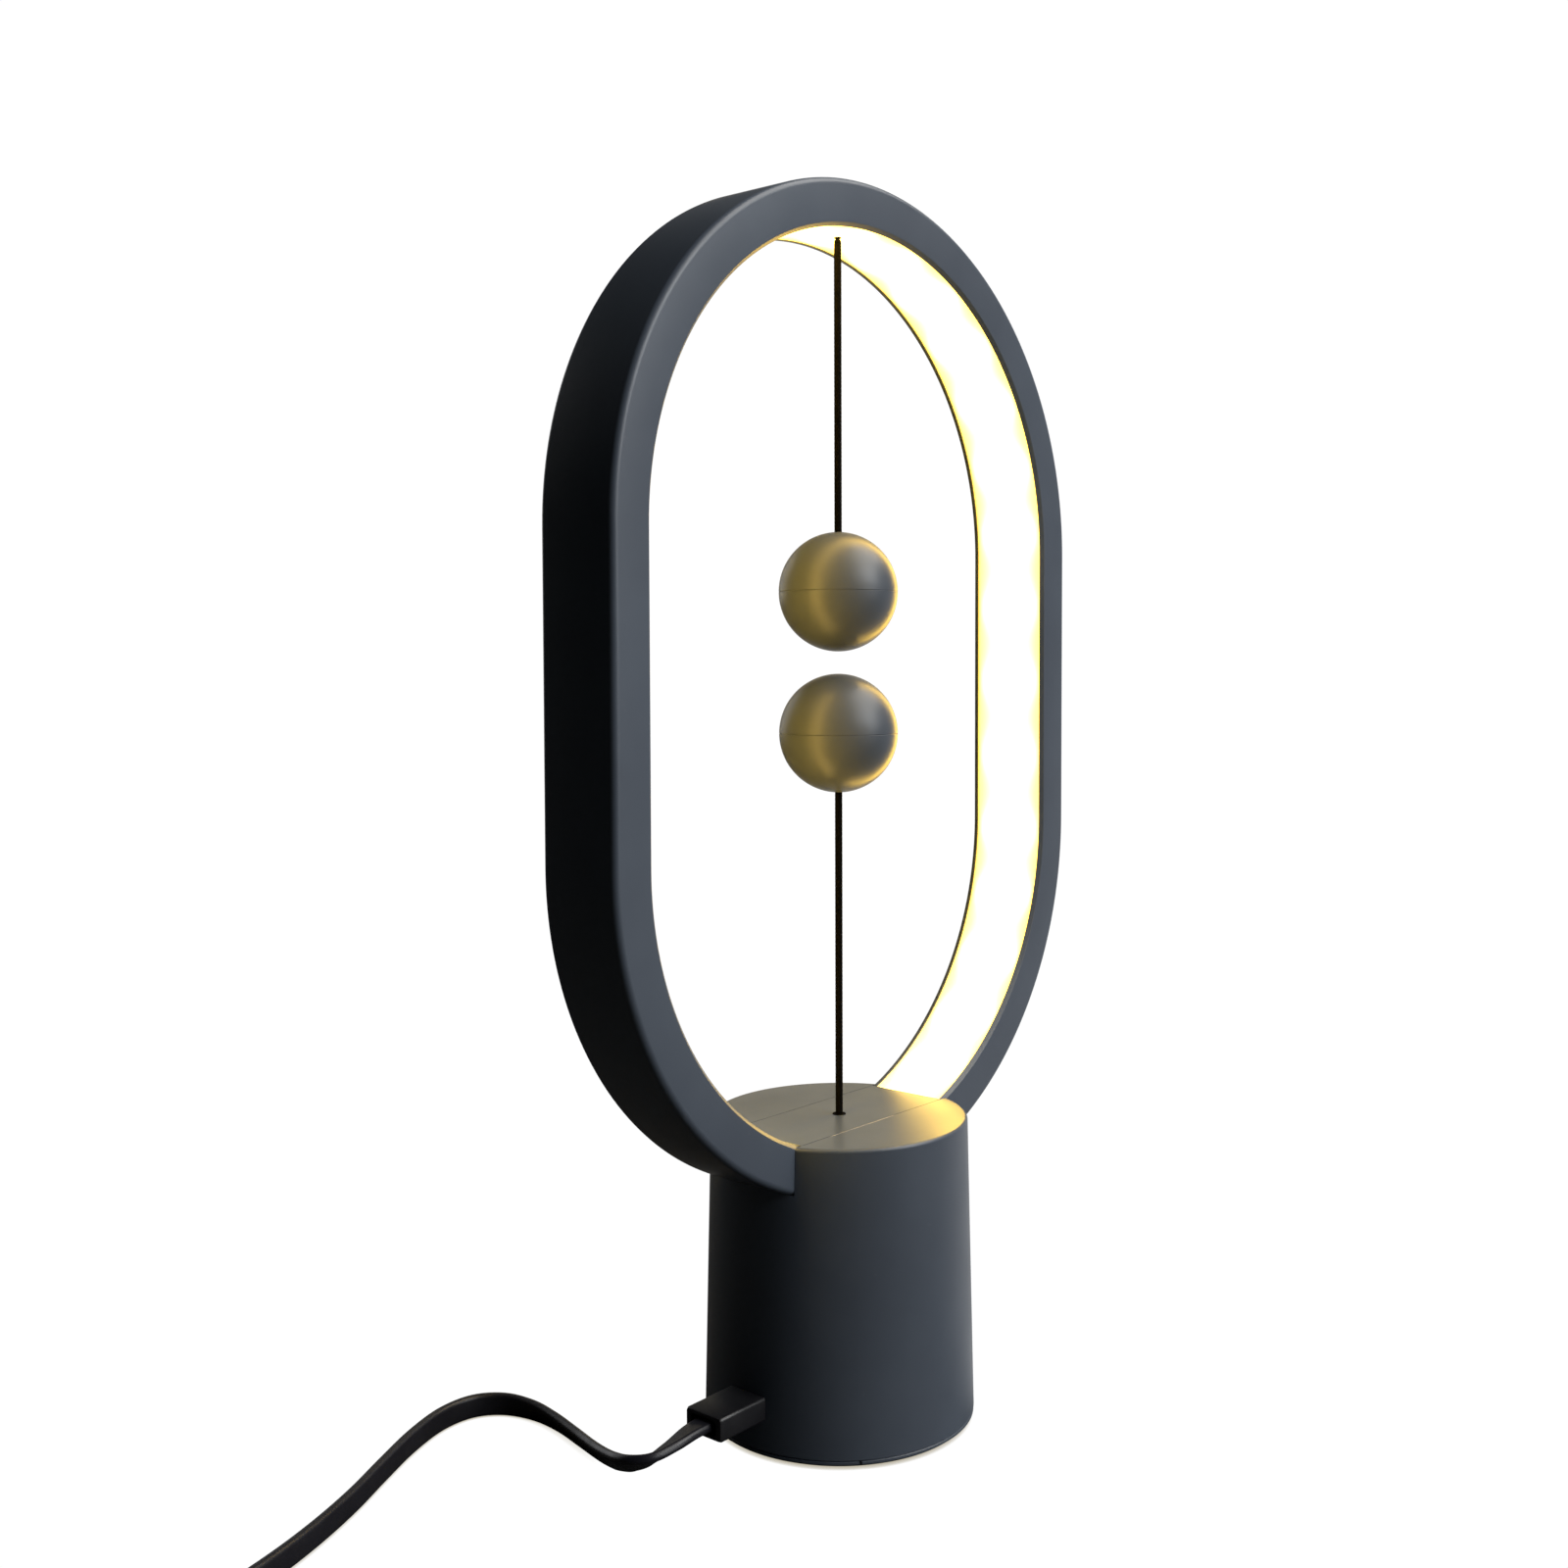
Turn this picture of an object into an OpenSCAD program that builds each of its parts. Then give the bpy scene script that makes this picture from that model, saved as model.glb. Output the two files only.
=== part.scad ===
// Magnetic balance lamp. A lit loop stands in a round base. One ball hangs from
// the top of the loop, the other is tied to a switch in the base, and magnets in
// the two hold the lower one up in mid air.
// X runs across the loop, Y from front to back, Z is up. Millimetres.
// The origin is the middle of the foot, on the table.

/* [Loop] */
// Width of the loop over its outer faces
loop_w = 200; // [190:1:210]
// Height of the lamp from the table to the top of the loop
lamp_h = 353; // [348:1:360]
// Height of the loop's straight sides
straight_h = 85; // [80:1:90]
// Thickness of the loop, inner face to outer face
loop_t = 13; // [12.5:0.1:14]
// Depth of the loop, front to back
loop_d = 26.6; // [25:0.2:28]
// Thickness of the channel's two side walls
rim_t = 1.2; // [1:0.1:1.4]
// Thickness of the channel's back wall
back_t = 1.6; // [1.4:0.1:1.8]
// Rounding of the loop's outer edges
loop_round = 1.8; // [1:0.1:2.2]
// Thickness of the diffuser
diffuser_t = 1.5; // [1:0.1:2]
// Number of light chips round the loop, an even number
chips = 28; // [20:2:40]

/* [Base] */
// Height of the base's flat top
base_h = 87.5; // [86:0.5:89]
// Diameter of the base at its foot
base_foot_d = 78.6; // [77:0.2:80]
// Diameter of the base at its top
base_top_d = 74.8; // [74:0.2:76]
// Thickness of the base's wall
wall = 2.6; // [2:0.1:3]
// Diameter of the steel weight
ballast_d = 55; // [40:1:56]
// Thickness of the steel weight
ballast_t = 6.5; // [4:0.5:7]

/* [Balls] */
// Diameter of each ball
ball_d = 34.3; // [33:0.1:35]
// Height of the middle of the upper ball
upper_ball_z = 239.4; // [236:0.2:242]
// Gap that the magnets leave between the balls
ball_gap = 6.4; // [5:0.2:8]
// Wall of the half shells
ball_wall = 1.6; // [1.4:0.1:2]
// Diameter of the magnets
magnet_d = 14; // [10:0.5:14]
// Diameter of the braided cords
cord_d = 2.1; // [1.8:0.1:2.2]

/* [Switch] */
// Travel of the plunger
plunger_travel = 3; // [2:0.5:3]
// Diameter of the plunger's shaft
plunger_d = 6; // [5:0.5:6.5]
// Turns of the return spring
spring_turns = 5; // [3:1:6]

/* [Supply lead] */
// Width of the flat lead
lead_w = 6.5; // [5:0.5:7]
// Thickness of the flat lead
lead_t = 2.6; // [2:0.1:3]
// Height of the middle of the plug
plug_z = 15; // [14.6:0.1:15.4]

/* [Hidden] */
$fn = 96;

soft_touch = [0.20, 0.21, 0.23];
lit_white = [1.0, 0.96, 0.86];
cord_black = [0.08, 0.07, 0.06];
lead_black = [0.05, 0.05, 0.055];
steel = [0.62, 0.63, 0.65];
nickel = [0.78, 0.78, 0.80];
board_green = [0.10, 0.30, 0.18];
brass_gold = [0.80, 0.66, 0.30];
white_plastic = [0.90, 0.90, 0.88];
foam_black = [0.10, 0.10, 0.10];

eps = 0.01;

// Loop
outer_r = loop_w / 2;
inner_r = outer_r - loop_t;
high_z = lamp_h - outer_r;
low_z = high_z - straight_h;
rim_round = 0.4;
channel_w = loop_d - 2 * rim_t;
channel_r = outer_r - back_t;
diffuser_r = inner_r + 0.25;
diffuser_back_r = diffuser_r + diffuser_t;
strip_w = 10;
strip_t = 0.4;
chip_size = [2.8, 3.5, 0.8];

// Base
foot_r = base_foot_d / 2;
top_r = base_top_d / 2;
pad_t = 0.9;
seam_z = 2.5;
plate_top_z = 4.5;
slot_gap = 0.05;
slot_half = loop_d / 2 + slot_gap;
pocket_wall = 2;
top_plate_t = 2.5;
deck_half_x = 32;
deck_half_y = loop_d / 2 - 0.2;
boss_r = 3.2;
boss_ring_r = 31.3;
screw_hole_r = 1.45;
screw_r = 1.4;

// Cord through the base
bushing_r = 1.95;
bushing_bore_r = 1.3;
bushing_top_z = base_h + 0.2;
bushing_low_z = 64;
cord_r = cord_d / 2;
pivot_gap = 0.05;
low_pivot_z = base_h + 0.5;
tail_top_z = low_pivot_z - cord_r - pivot_gap;

// Top of the loop
ceiling_z = high_z + diffuser_r;
stub_low_z = ceiling_z - 0.25;
high_pivot_z = stub_low_z - cord_r - pivot_gap;
anchor_r = 3.5;
knot_r = 2.3;

// Balls
ball_r = ball_d / 2;
lower_ball_z = upper_ball_z - ball_d - ball_gap;
ball_in_r = ball_r - ball_wall;
ball_hole_r = cord_r + 0.15;
groove = 0.14;
knot_h = ball_in_r - 0.15 - knot_r;
magnet_r = magnet_d / 2;
magnet_face_h = sqrt(pow(ball_in_r, 2) - pow(magnet_r, 2)) - 0.25;
magnet_t = 6;
cup_r = magnet_r + 1.6;
cup_face_h = magnet_face_h - 0.8;
cup_back_h = magnet_face_h - magnet_t - 1.6;

// Switch, hung under the pocket that holds the loop
hanger_z = 62;
guide_low_z = 54;
guide_r = 5;
plate_x = 13;
plunger_r = plunger_d / 2;
flange_t = 2;
flange_z = guide_low_z - 7 - plunger_travel;
flange_r = 6.5;
arm_end_x = 13;
switch_x0 = 9;
switch_len = 12.8;
switch_w = 5.8;
switch_low_z = 48;
switch_h = 6.5;
lever_z = flange_z + flange_t + 0.3;
lever_t = 0.4;
lever_pivot_x = 20.5;
spring_wire_r = 0.35;
spring_r = 4;

// Board and its socket
board_low_z = 12.1;
board_t = 1.6;
board_top_z = board_low_z + board_t;
board_x0 = -35.5;
board_x1 = -7;
board_half_y = 14.5;
board_screw_xy = [[-30.5, 11], [-30.5, -11], [-18.6, 11.5], [-18.6, -11.5]];
post_r = 2.4;
socket_x0 = -36.2;
socket_len = 5;
tip_w = 6.85;
tip_h = 1.8;

// Plug at the lamp, pointing along +X
plug_front_x = -39.3;
plug_len = 18.1;
plug_w = 13.1;
plug_h = 6.7;
plug_rear_x = plug_front_x - plug_len;
plug_recess = 1.5;
slot_w = lead_w + 1.4;
slot_h = lead_t + 1.4;

// Route of the lead from the plug to the coil: x, y, z, and the angle that its
// flat side has turned. It hangs from the plug, turns onto its edge and lies on the table.
lead_route = [
    [plug_rear_x + plug_recess, 0, plug_z, 0],
    [-62, 0, 14.7, 8],
    [-69, 0.2, 13.3, 22],
    [-75.5, 1.6, 11.8, 34],
    [-78.3, 6, 10.6, 42],
    [-77.2, 12, 8.8, 48],
    [-74.2, 19, 6.6, 53],
    [-70.6, 28, 4.7, 57],
    [-67, 39, 3.7, 60],
    [-64.2, 51, 3.5, 63],
    [-63.4, 62, 3.5, 72],
    [-66, 72, 3.5, 84],
    [-73, 78, 3.5, 90],
    [-84, 78.2, 3.5, 90],
    [-98, 73, 3.6, 90],
    [-113, 65.2, 3.6, 90],
    [-128, 57, 3.6, 90],
    [-143, 50, 3.7, 90],
    [-158, 44.5, 3.7, 90],
    [-174, 40, 3.8, 90],
    [-190, 37, 3.9, 90],
    [-201, 36, 3.9, 90],
    [-205.5, 36, 3.9, 90]
];

// Coil of the rest of the lead, two layers on edge: in on the lower, out on the upper
coil_x = -212;
coil_y = -2.4;
coil_out_r = 38.4;
coil_step = 4.2;
coil_low_z = 3.9;
coil_layer = lead_w + 0.5;
coil_start = 90;
coil_turns = 4.5;
coil_end = coil_start + 360 * coil_turns;
coil_middle = (coil_start + coil_end) / 2;
coil_climb = 90;
coil_rings = 24;
coil_steps = coil_turns * coil_rings;

// Route of the lead from the coil to the large plug
tail_y = coil_y - coil_out_r;
tail_route = [
    [-205.5, tail_y, coil_low_z + coil_layer, 90],
    [-203.5, tail_y, coil_low_z + coil_layer, 90],
    [-197, tail_y, 10.0, 80],
    [-190, tail_y, 7.6, 50],
    [-184, tail_y, 5.2, 22],
    [-179, tail_y, 4.1, 4],
    [-175, tail_y, 4, 0]
];
big_plug_x = -176;
big_plug_len = 25;
big_plug_w = 15.5;
big_plug_h = 8;
big_plug_z = big_plug_h / 2;
big_shell_x = big_plug_x + big_plug_len;
big_shell_len = 18.8;
big_shell_w = 12;
big_shell_h = 4.5;

// Corners of the lead's section, x across its width, y across its thickness
lead_corner = 0.8;
lead_section = [
    [lead_w / 2, -lead_t / 2 + lead_corner], [lead_w / 2, lead_t / 2 - lead_corner],
    [lead_w / 2 - lead_corner, lead_t / 2], [-lead_w / 2 + lead_corner, lead_t / 2],
    [-lead_w / 2, lead_t / 2 - lead_corner], [-lead_w / 2, -lead_t / 2 + lead_corner],
    [-lead_w / 2 + lead_corner, -lead_t / 2], [lead_w / 2 - lead_corner, -lead_t / 2]
];
coil_section = [
    [lead_w / 2, 0], [lead_w / 2 - 0.9, lead_t / 2], [-lead_w / 2 + 0.9, lead_t / 2],
    [-lead_w / 2, 0], [-lead_w / 2 + 0.9, -lead_t / 2], [lead_w / 2 - 0.9, -lead_t / 2]
];

// ---- Tubes that follow a list of points ----

function unit(v) = v / norm(v);
function place(q) = [q[0], q[1], q[2]];
function tangent(p, i) = unit(place(p[min(i + 1, len(p) - 1)]) - place(p[max(i - 1, 0)]));

// One ring of a tube: the section, turned by an angle about the way the tube runs
function ring(c, t, up, turn, section) =
    let (h = unit(cross(up, t)), v = cross(t, h))
    [for (s = section)
        c + h * (s[0] * cos(turn) - s[1] * sin(turn)) + v * (s[0] * sin(turn) + s[1] * cos(turn))];

// A closed tube through the points p, whose fourth value is the section's turn
module tube(p, section, up = [0, 0, 1]) {
    n = len(section);
    last = (len(p) - 1) * n;
    points = [for (i = [0:len(p) - 1]) each ring(place(p[i]), tangent(p, i), up, p[i][3], section)];
    sides = [for (i = [0:len(p) - 2], k = [0:n - 1])
        let (a = i * n + k, b = i * n + (k + 1) % n)
        each [[a, b, a + n], [b, b + n, a + n]]];
    first_cap = [for (k = [1:n - 2]) [0, k + 1, k]];
    last_cap = [for (k = [1:n - 2]) [last, last + k, last + k + 1]];
    polyhedron(points, concat(sides, first_cap, last_cap));
}

function round_section(r, n) = [for (k = [0:n - 1]) [r * cos(360 * k / n), r * sin(360 * k / n)]];

// Point of the coil at angle a
function coil_radius(a) =
    coil_out_r - coil_step * (min(a, coil_start + coil_end - a) - coil_start) / 360;
function coil_rise(a) = coil_layer * max(0, min(1, (a - coil_middle) / coil_climb + 0.5));
function coil_point(a) = [
    coil_x + coil_radius(a) * cos(a),
    coil_y + coil_radius(a) * sin(a),
    coil_low_z + coil_rise(a),
    90
];
coil_path = concat(
    [[coil_x + lead_w, coil_y + coil_out_r, coil_low_z, 90]],
    [for (i = [0:coil_steps]) coil_point(coil_start + (coil_end - coil_start) * i / coil_steps)],
    [[coil_x + lead_w, coil_y - coil_out_r, coil_low_z + coil_layer, 90]]
);

function length_of(p, i = 1) =
    i >= len(p) ? 0 : norm(place(p[i]) - place(p[i - 1])) + length_of(p, i + 1);
echo(lead_length = length_of(lead_route) + length_of(coil_path) + length_of(tail_route));

// Least gap of the coil to itself: beside itself within a layer, and between the layers
coil_points = len(coil_path);
function coil_gap(i, j) =
    let (d = place(coil_path[i]) - place(coil_path[j]))
    max(norm([d[0], d[1]]) - lead_t, abs(d[2]) - lead_w);
echo(coil_least_gap = min([
    for (i = [0:coil_points - 1])
        for (j = [i + coil_rings / 2:1:coil_points - 1])
            coil_gap(i, j)
]));

// ---- Small shared shapes ----

// Rectangle w by h with rounded corners, in the XY plane about the origin
module rounded_rectangle(w, h, r) {
    square([w - 2 * r, h], center = true);
    square([w, h - 2 * r], center = true);
    for (x = [-1, 1], y = [-1, 1])
        translate([x * (w / 2 - r), y * (h / 2 - r)])
            circle(r);
}

// Bar of that section, running along X from x0 for length len, about height z
module bar_along_x(x0, len, y, z, w, h, r) {
    translate([x0, y, z])
        rotate([90, 0, 90])
            linear_extrude(len)
                rounded_rectangle(w, h, r);
}

// Sweeps a section, drawn with its radius along x, right round the loop
module round_loop() {
    for (low = [0, 1])
        translate([0, 0, low ? low_z : high_z])
            mirror([0, 0, low])
                rotate([90, 0, 0])
                    rotate_extrude(angle = 180)
                        children();
    for (left = [0, 1])
        mirror([left, 0, 0])
            translate([0, 0, low_z])
                linear_extrude(straight_h)
                    children();
}

// Plate of depth 2 * half_y whose outline is a disc about the middle of the loop's lower arc
module arc_disc(r, half_y) {
    translate([0, half_y, low_z])
        rotate([90, 0, 0])
            cylinder(r = r, h = 2 * half_y, $fn = 180);
}

// Puts children at the lower arc, a degrees from its lowest point, with -Z pointing outward
module on_low_arc(a) {
    translate([0, 0, low_z])
        rotate([0, a, 0])
            children();
}

// Pan head screw, head down, its shank rising from z = 0
module pan_screw(shank_r, shank_len, head_r, head_t) {
    difference() {
        union() {
            translate([0, 0, -head_t / 2])
                cylinder(r = shank_r, h = shank_len + head_t / 2, $fn = 32);
            translate([0, 0, -head_t])
                cylinder(r = head_r, h = head_t, $fn = 32);
        }
        for (a = [0, 90])
            rotate([0, 0, a])
                translate([-head_r * 0.6, -0.3, -head_t - eps])
                    cube([head_r * 1.2, 0.6, head_t * 0.6]);
    }
}

// ---- Loop ----

module loop_section() {
    half = loop_d / 2;
    difference() {
        union() {
            polygon([
                [inner_r + rim_round, -half], [outer_r - loop_round, -half],
                [outer_r, -half + loop_round], [outer_r, half - loop_round],
                [outer_r - loop_round, half], [inner_r + rim_round, half],
                [inner_r, half - rim_round], [inner_r, -half + rim_round]
            ]);
            for (s = [-1, 1]) {
                translate([outer_r - loop_round, s * (half - loop_round)])
                    circle(loop_round);
                translate([inner_r + rim_round, s * (half - rim_round)])
                    circle(rim_round);
            }
        }
        translate([inner_r - 1, -channel_w / 2])
            square([channel_r - inner_r + 1, channel_w]);
    }
}

frame_screw_angle = 11;
wire_hole_angle = 17;

module loop_frame() {
    color(soft_touch)
        difference() {
            round_loop()
                loop_section();
            for (a = [-frame_screw_angle, frame_screw_angle])
                on_low_arc(a)
                    translate([0, 0, -outer_r - 2])
                        cylinder(r = 1.65, h = 6, $fn = 32);
            on_low_arc(wire_hole_angle)
                translate([0, 0, -outer_r - 2])
                    cylinder(r = 2.2, h = 6, $fn = 32);
            translate([0, 0, low_z - outer_r - 2])
                cylinder(r = bushing_r + 0.05, h = 6, $fn = 48);
        }
}

module diffuser() {
    color(lit_white)
        difference() {
            round_loop()
                translate([diffuser_r, -channel_w / 2])
                    square([diffuser_t, channel_w]);
            translate([-30, -loop_d, low_z - outer_r])
                cube([60, 2 * loop_d, 40]);
            translate([0, 0, high_z])
                cylinder(r = cord_r + 0.05, h = outer_r, $fn = 48);
        }
}

module led_strip() {
    color(brass_gold)
        difference() {
            round_loop()
                translate([channel_r - strip_t, -strip_w / 2])
                    square([strip_t, strip_w]);
            translate([-34, -loop_d, low_z - outer_r])
                cube([68, 2 * loop_d, 40]);
            translate([0, 0, high_z])
                cylinder(r = anchor_r + 0.1, h = outer_r, $fn = 48);
        }
}

// The strip's path, from the middle of the top: along half the top arc, down the side, round below
chip_r = channel_r - strip_t;
top_quarter = chip_r * PI / 2;
side_end = top_quarter + straight_h;
strip_half = side_end + chip_r * PI / 180 * 66;
chip_pitch = 2 * strip_half / (chips + 1);

// Puts children at length s along half the strip, +X side, with -Z pointing to the back wall
module on_strip(s) {
    if (s < top_quarter)
        translate([0, 0, high_z])
            rotate([0, 180 + 180 / PI * s / chip_r, 0])
                translate([0, 0, -chip_r])
                    children();
    else if (s < side_end)
        translate([chip_r, 0, high_z - (s - top_quarter)])
            rotate([0, 270, 0])
                children();
    else
        translate([0, 0, low_z])
            rotate([0, 270 + 180 / PI * (s - side_end) / chip_r, 0])
                translate([0, 0, -chip_r])
                    children();
}

module led_chips() {
    color(lit_white)
        for (left = [0, 1], i = [0:chips / 2 - 1])
            mirror([left, 0, 0])
                on_strip((i + 1) * chip_pitch)
                    translate([-chip_size[0] / 2, -chip_size[1] / 2, 0.02])
                        cube(chip_size);
}

// Barrel behind the diffuser that the upper cord's knot sits in
anchor_low_z = high_z + diffuser_back_r;
anchor_h = 6.5;
anchor_knot_z = anchor_low_z + 4.9;

module cord_anchor() {
    color(white_plastic)
        translate([0, 0, anchor_low_z])
            difference() {
                cylinder(r = anchor_r, h = anchor_h, $fn = 48);
                translate([0, 0, -eps])
                    cylinder(r = cord_r + 0.05, h = anchor_h, $fn = 48);
                translate([0, 0, 2.5])
                    cylinder(r = knot_r + 0.2, h = anchor_h, $fn = 48);
            }
}

module upper_cord_stub() {
    color(cord_black) {
        translate([0, 0, stub_low_z])
            cylinder(r = cord_r, h = anchor_knot_z - stub_low_z, $fn = 48);
        translate([0, 0, anchor_knot_z])
            sphere(r = knot_r, $fn = 48);
    }
}

// ---- Balls, drawn about their own middle ----

module half_shell() {
    difference() {
        intersection() {
            sphere(r = ball_r);
            cylinder(r = ball_r + 1, h = ball_r + 1);
        }
        sphere(r = ball_in_r);
        rotate_extrude()
            polygon([
                [ball_r - groove, -eps], [ball_r + 1, -eps], [ball_r + 1, groove], [ball_r, groove]
            ]);
    }
}

// Half that the cord enters, at its top
module cord_half() {
    difference() {
        union() {
            half_shell();
            intersection() {
                sphere(r = ball_r - 0.6);
                translate([0, 0, knot_h - 2.6])
                    cylinder(r = knot_r + 1.7, h = ball_r, $fn = 48);
            }
        }
        cylinder(r = ball_hole_r, h = ball_r + 1, $fn = 48);
        cylinder(r = knot_r + 0.3, h = ball_in_r - 0.1, $fn = 48);
    }
}

// Half that holds the magnet, at its top, with a lip that centres the other half
module magnet_half() {
    difference() {
        union() {
            half_shell();
            intersection() {
                sphere(r = ball_r - 0.6);
                translate([0, 0, cup_back_h + 1])
                    cylinder(r = cup_r + 1.6, h = ball_r);
            }
            difference() {
                union() {
                    translate([0, 0, -2])
                        cylinder(r = ball_in_r - 0.25, h = 2 + eps);
                    cylinder(r = ball_in_r + 0.3, h = 2);
                }
                translate([0, 0, -3])
                    cylinder(r = ball_in_r - 1.2, h = 6);
            }
        }
        cylinder(r = cup_r + 0.05, h = cup_face_h);
        cylinder(r = magnet_r + 0.05, h = magnet_face_h + 0.02);
    }
}

module magnet_cup() {
    translate([0, 0, cup_back_h])
        difference() {
            cylinder(r = cup_r, h = cup_face_h - cup_back_h);
            translate([0, 0, 1.6])
                cylinder(r = magnet_r + 0.02, h = 20);
        }
}

module magnet() {
    translate([0, 0, magnet_face_h - magnet_t])
        cylinder(r = magnet_r, h = magnet_t);
}

module at_upper_ball(down) {
    translate([0, 0, upper_ball_z])
        mirror([0, 0, down])
            children();
}

module at_lower_ball(down) {
    translate([0, 0, lower_ball_z])
        mirror([0, 0, down])
            children();
}

module upper_cord_pivot() {
    color(cord_black)
        translate([0, 0, high_pivot_z])
            sphere(r = cord_r, $fn = 48);
}

module upper_cord() {
    color(cord_black) {
        difference() {
            translate([0, 0, upper_ball_z + knot_h])
                cylinder(r = cord_r, h = high_pivot_z - upper_ball_z - knot_h, $fn = 48);
            translate([0, 0, high_pivot_z])
                sphere(r = cord_r + pivot_gap, $fn = 48);
        }
        translate([0, 0, upper_ball_z + knot_h])
            sphere(r = knot_r, $fn = 48);
    }
}

module upper_ball_top() {
    color(soft_touch)
        at_upper_ball(0)
            cord_half();
}

module upper_ball_bottom() {
    color(soft_touch)
        at_upper_ball(1)
            magnet_half();
}

module upper_magnet_cup() {
    color(white_plastic)
        at_upper_ball(1)
            magnet_cup();
}

module upper_magnet() {
    color(nickel)
        at_upper_ball(1)
            magnet();
}

module lower_cord_pivot() {
    color(cord_black)
        translate([0, 0, low_pivot_z])
            sphere(r = cord_r, $fn = 48);
}

low_cord_top_z = lower_ball_z - knot_h - knot_r - 0.1;

module lower_cord() {
    color(cord_black)
        difference() {
            translate([0, 0, low_pivot_z])
                cylinder(r = cord_r, h = low_cord_top_z - low_pivot_z, $fn = 48);
            translate([0, 0, low_pivot_z])
                sphere(r = cord_r + pivot_gap, $fn = 48);
        }
}

module lower_ball_knot() {
    color(cord_black)
        at_lower_ball(1)
            translate([0, 0, knot_h])
                sphere(r = knot_r, $fn = 48);
}

module lower_ball_bottom() {
    color(soft_touch)
        at_lower_ball(1)
            cord_half();
}

module lower_ball_top() {
    color(soft_touch)
        at_lower_ball(0)
            magnet_half();
}

module lower_magnet_cup() {
    color(white_plastic)
        at_lower_ball(0)
            magnet_cup();
}

module lower_magnet() {
    color(nickel)
        at_lower_ball(0)
            magnet();
}

// ---- Base ----

// Everything inside the base's outer surface, above the seam
module base_outside() {
    rotate_extrude($fn = 180) {
        polygon([
            [0, seam_z], [foot_r - 0.3, seam_z], [foot_r, seam_z + 0.3],
            [top_r, base_h - 1], [top_r - 1, base_h], [0, base_h]
        ]);
        intersection() {
            translate([top_r - 1, base_h - 1])
                circle(1);
            translate([0, seam_z])
                square([foot_r, base_h]);
        }
    }
}

module base_inside() {
    rotate_extrude($fn = 180)
        polygon([
            [0, seam_z - 1], [foot_r - wall, seam_z - 1],
            [top_r - wall, base_h - top_plate_t], [0, base_h - top_plate_t]
        ]);
}

// The pocket that the loop drops into: a curved floor between two upright walls
module loop_pocket() {
    intersection() {
        base_outside();
        arc_disc(outer_r + slot_gap + pocket_wall, slot_half + pocket_wall);
    }
}

module base_shell() {
    color(soft_touch)
        difference() {
            union() {
                difference() {
                    base_outside();
                    base_inside();
                }
                loop_pocket();
                for (a = [45:90:315])
                    rotate([0, 0, a])
                        translate([boss_ring_r, 0, plate_top_z])
                            cylinder(r = boss_r, h = 24, $fn = 48);
                for (a = [45:90:315])
                    rotate([0, 0, a])
                        translate([boss_ring_r, -1, plate_top_z])
                            cube([foot_r - boss_ring_r - 1.6, 2, 24]);
                for (x = [-plate_x, plate_x])
                    translate([x, 0, hanger_z])
                        cylinder(r = boss_r, h = 5.5, $fn = 48);
            }
            arc_disc(outer_r + slot_gap, slot_half);
            for (a = [45:90:315])
                rotate([0, 0, a])
                    translate([boss_ring_r, 0, plate_top_z - eps])
                        cylinder(r = screw_hole_r, h = 12, $fn = 32);
            for (x = [-plate_x, plate_x])
                translate([x, 0, hanger_z - eps])
                    cylinder(r = 0.95, h = 4, $fn = 32);
            for (a = [-frame_screw_angle, frame_screw_angle])
                on_low_arc(a)
                    translate([0, 0, -outer_r - 4])
                        cylinder(r = 1.65, h = 6, $fn = 32);
            on_low_arc(wire_hole_angle)
                translate([0, 0, -outer_r - 6])
                    cylinder(r = 2.2, h = 8, $fn = 32);
            cylinder(r = bushing_r + 0.05, h = base_h + 1, $fn = 48);
            bar_along_x(-foot_r - 2, wall + 4, 0, plug_z, 8.6, 3.6, 1.4);
        }
}

module top_deck() {
    color(soft_touch)
        difference() {
            intersection() {
                arc_disc(inner_r - 0.05, deck_half_y);
                translate([-deck_half_x, -loop_d, low_z - inner_r])
                    cube([2 * deck_half_x, 2 * loop_d, base_h - low_z + inner_r]);
            }
            cylinder(r = bushing_r + 0.05, h = base_h + 1, $fn = 48);
        }
}

module cord_bushing() {
    color(cord_black)
        difference() {
            translate([0, 0, bushing_low_z])
                cylinder(r = bushing_r, h = bushing_top_z - bushing_low_z, $fn = 48);
            translate([0, 0, bushing_low_z - 1])
                cylinder(r = bushing_bore_r, h = 40, $fn = 48);
        }
}

module frame_screws() {
    color(steel)
        for (a = [-frame_screw_angle, frame_screw_angle])
            on_low_arc(a)
                translate([0, 0, -outer_r - slot_gap - pocket_wall])
                    pan_screw(1.5, 7.4, 2.9, 1.8);
}

module frame_nuts() {
    color(steel)
        for (a = [-frame_screw_angle, frame_screw_angle])
            on_low_arc(a)
                translate([0, 0, -channel_r + 0.06])
                    difference() {
                        cylinder(r = 3.15, h = 2.4, $fn = 6);
                        translate([0, 0, -eps])
                            cylinder(r = 1.52, h = 3, $fn = 32);
                    }
}

// ---- Switch that the lower cord pulls ----

tail_knot_z = flange_z + flange_t + 4;

module cord_tail() {
    color(cord_black) {
        translate([0, 0, tail_knot_z])
            cylinder(r = cord_r, h = tail_top_z - tail_knot_z, $fn = 48);
        translate([0, 0, tail_knot_z])
            sphere(r = 1.9, $fn = 48);
    }
}

module switch_plunger() {
    color(white_plastic)
        difference() {
            union() {
                translate([0, 0, flange_z])
                    cylinder(r = plunger_r, h = 16.5, $fn = 48);
                translate([0, 0, flange_z])
                    cylinder(r = flange_r, h = flange_t, $fn = 48);
                translate([0, -2.4, flange_z])
                    cube([arm_end_x, 4.8, flange_t]);
            }
            translate([0, 0, flange_z])
                cylinder(r = cord_r + 0.05, h = 20, $fn = 32);
            translate([0, 0, flange_z - eps])
                cylinder(r = 1.95, h = tail_knot_z - flange_z + 1.9, $fn = 32);
        }
}

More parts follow.
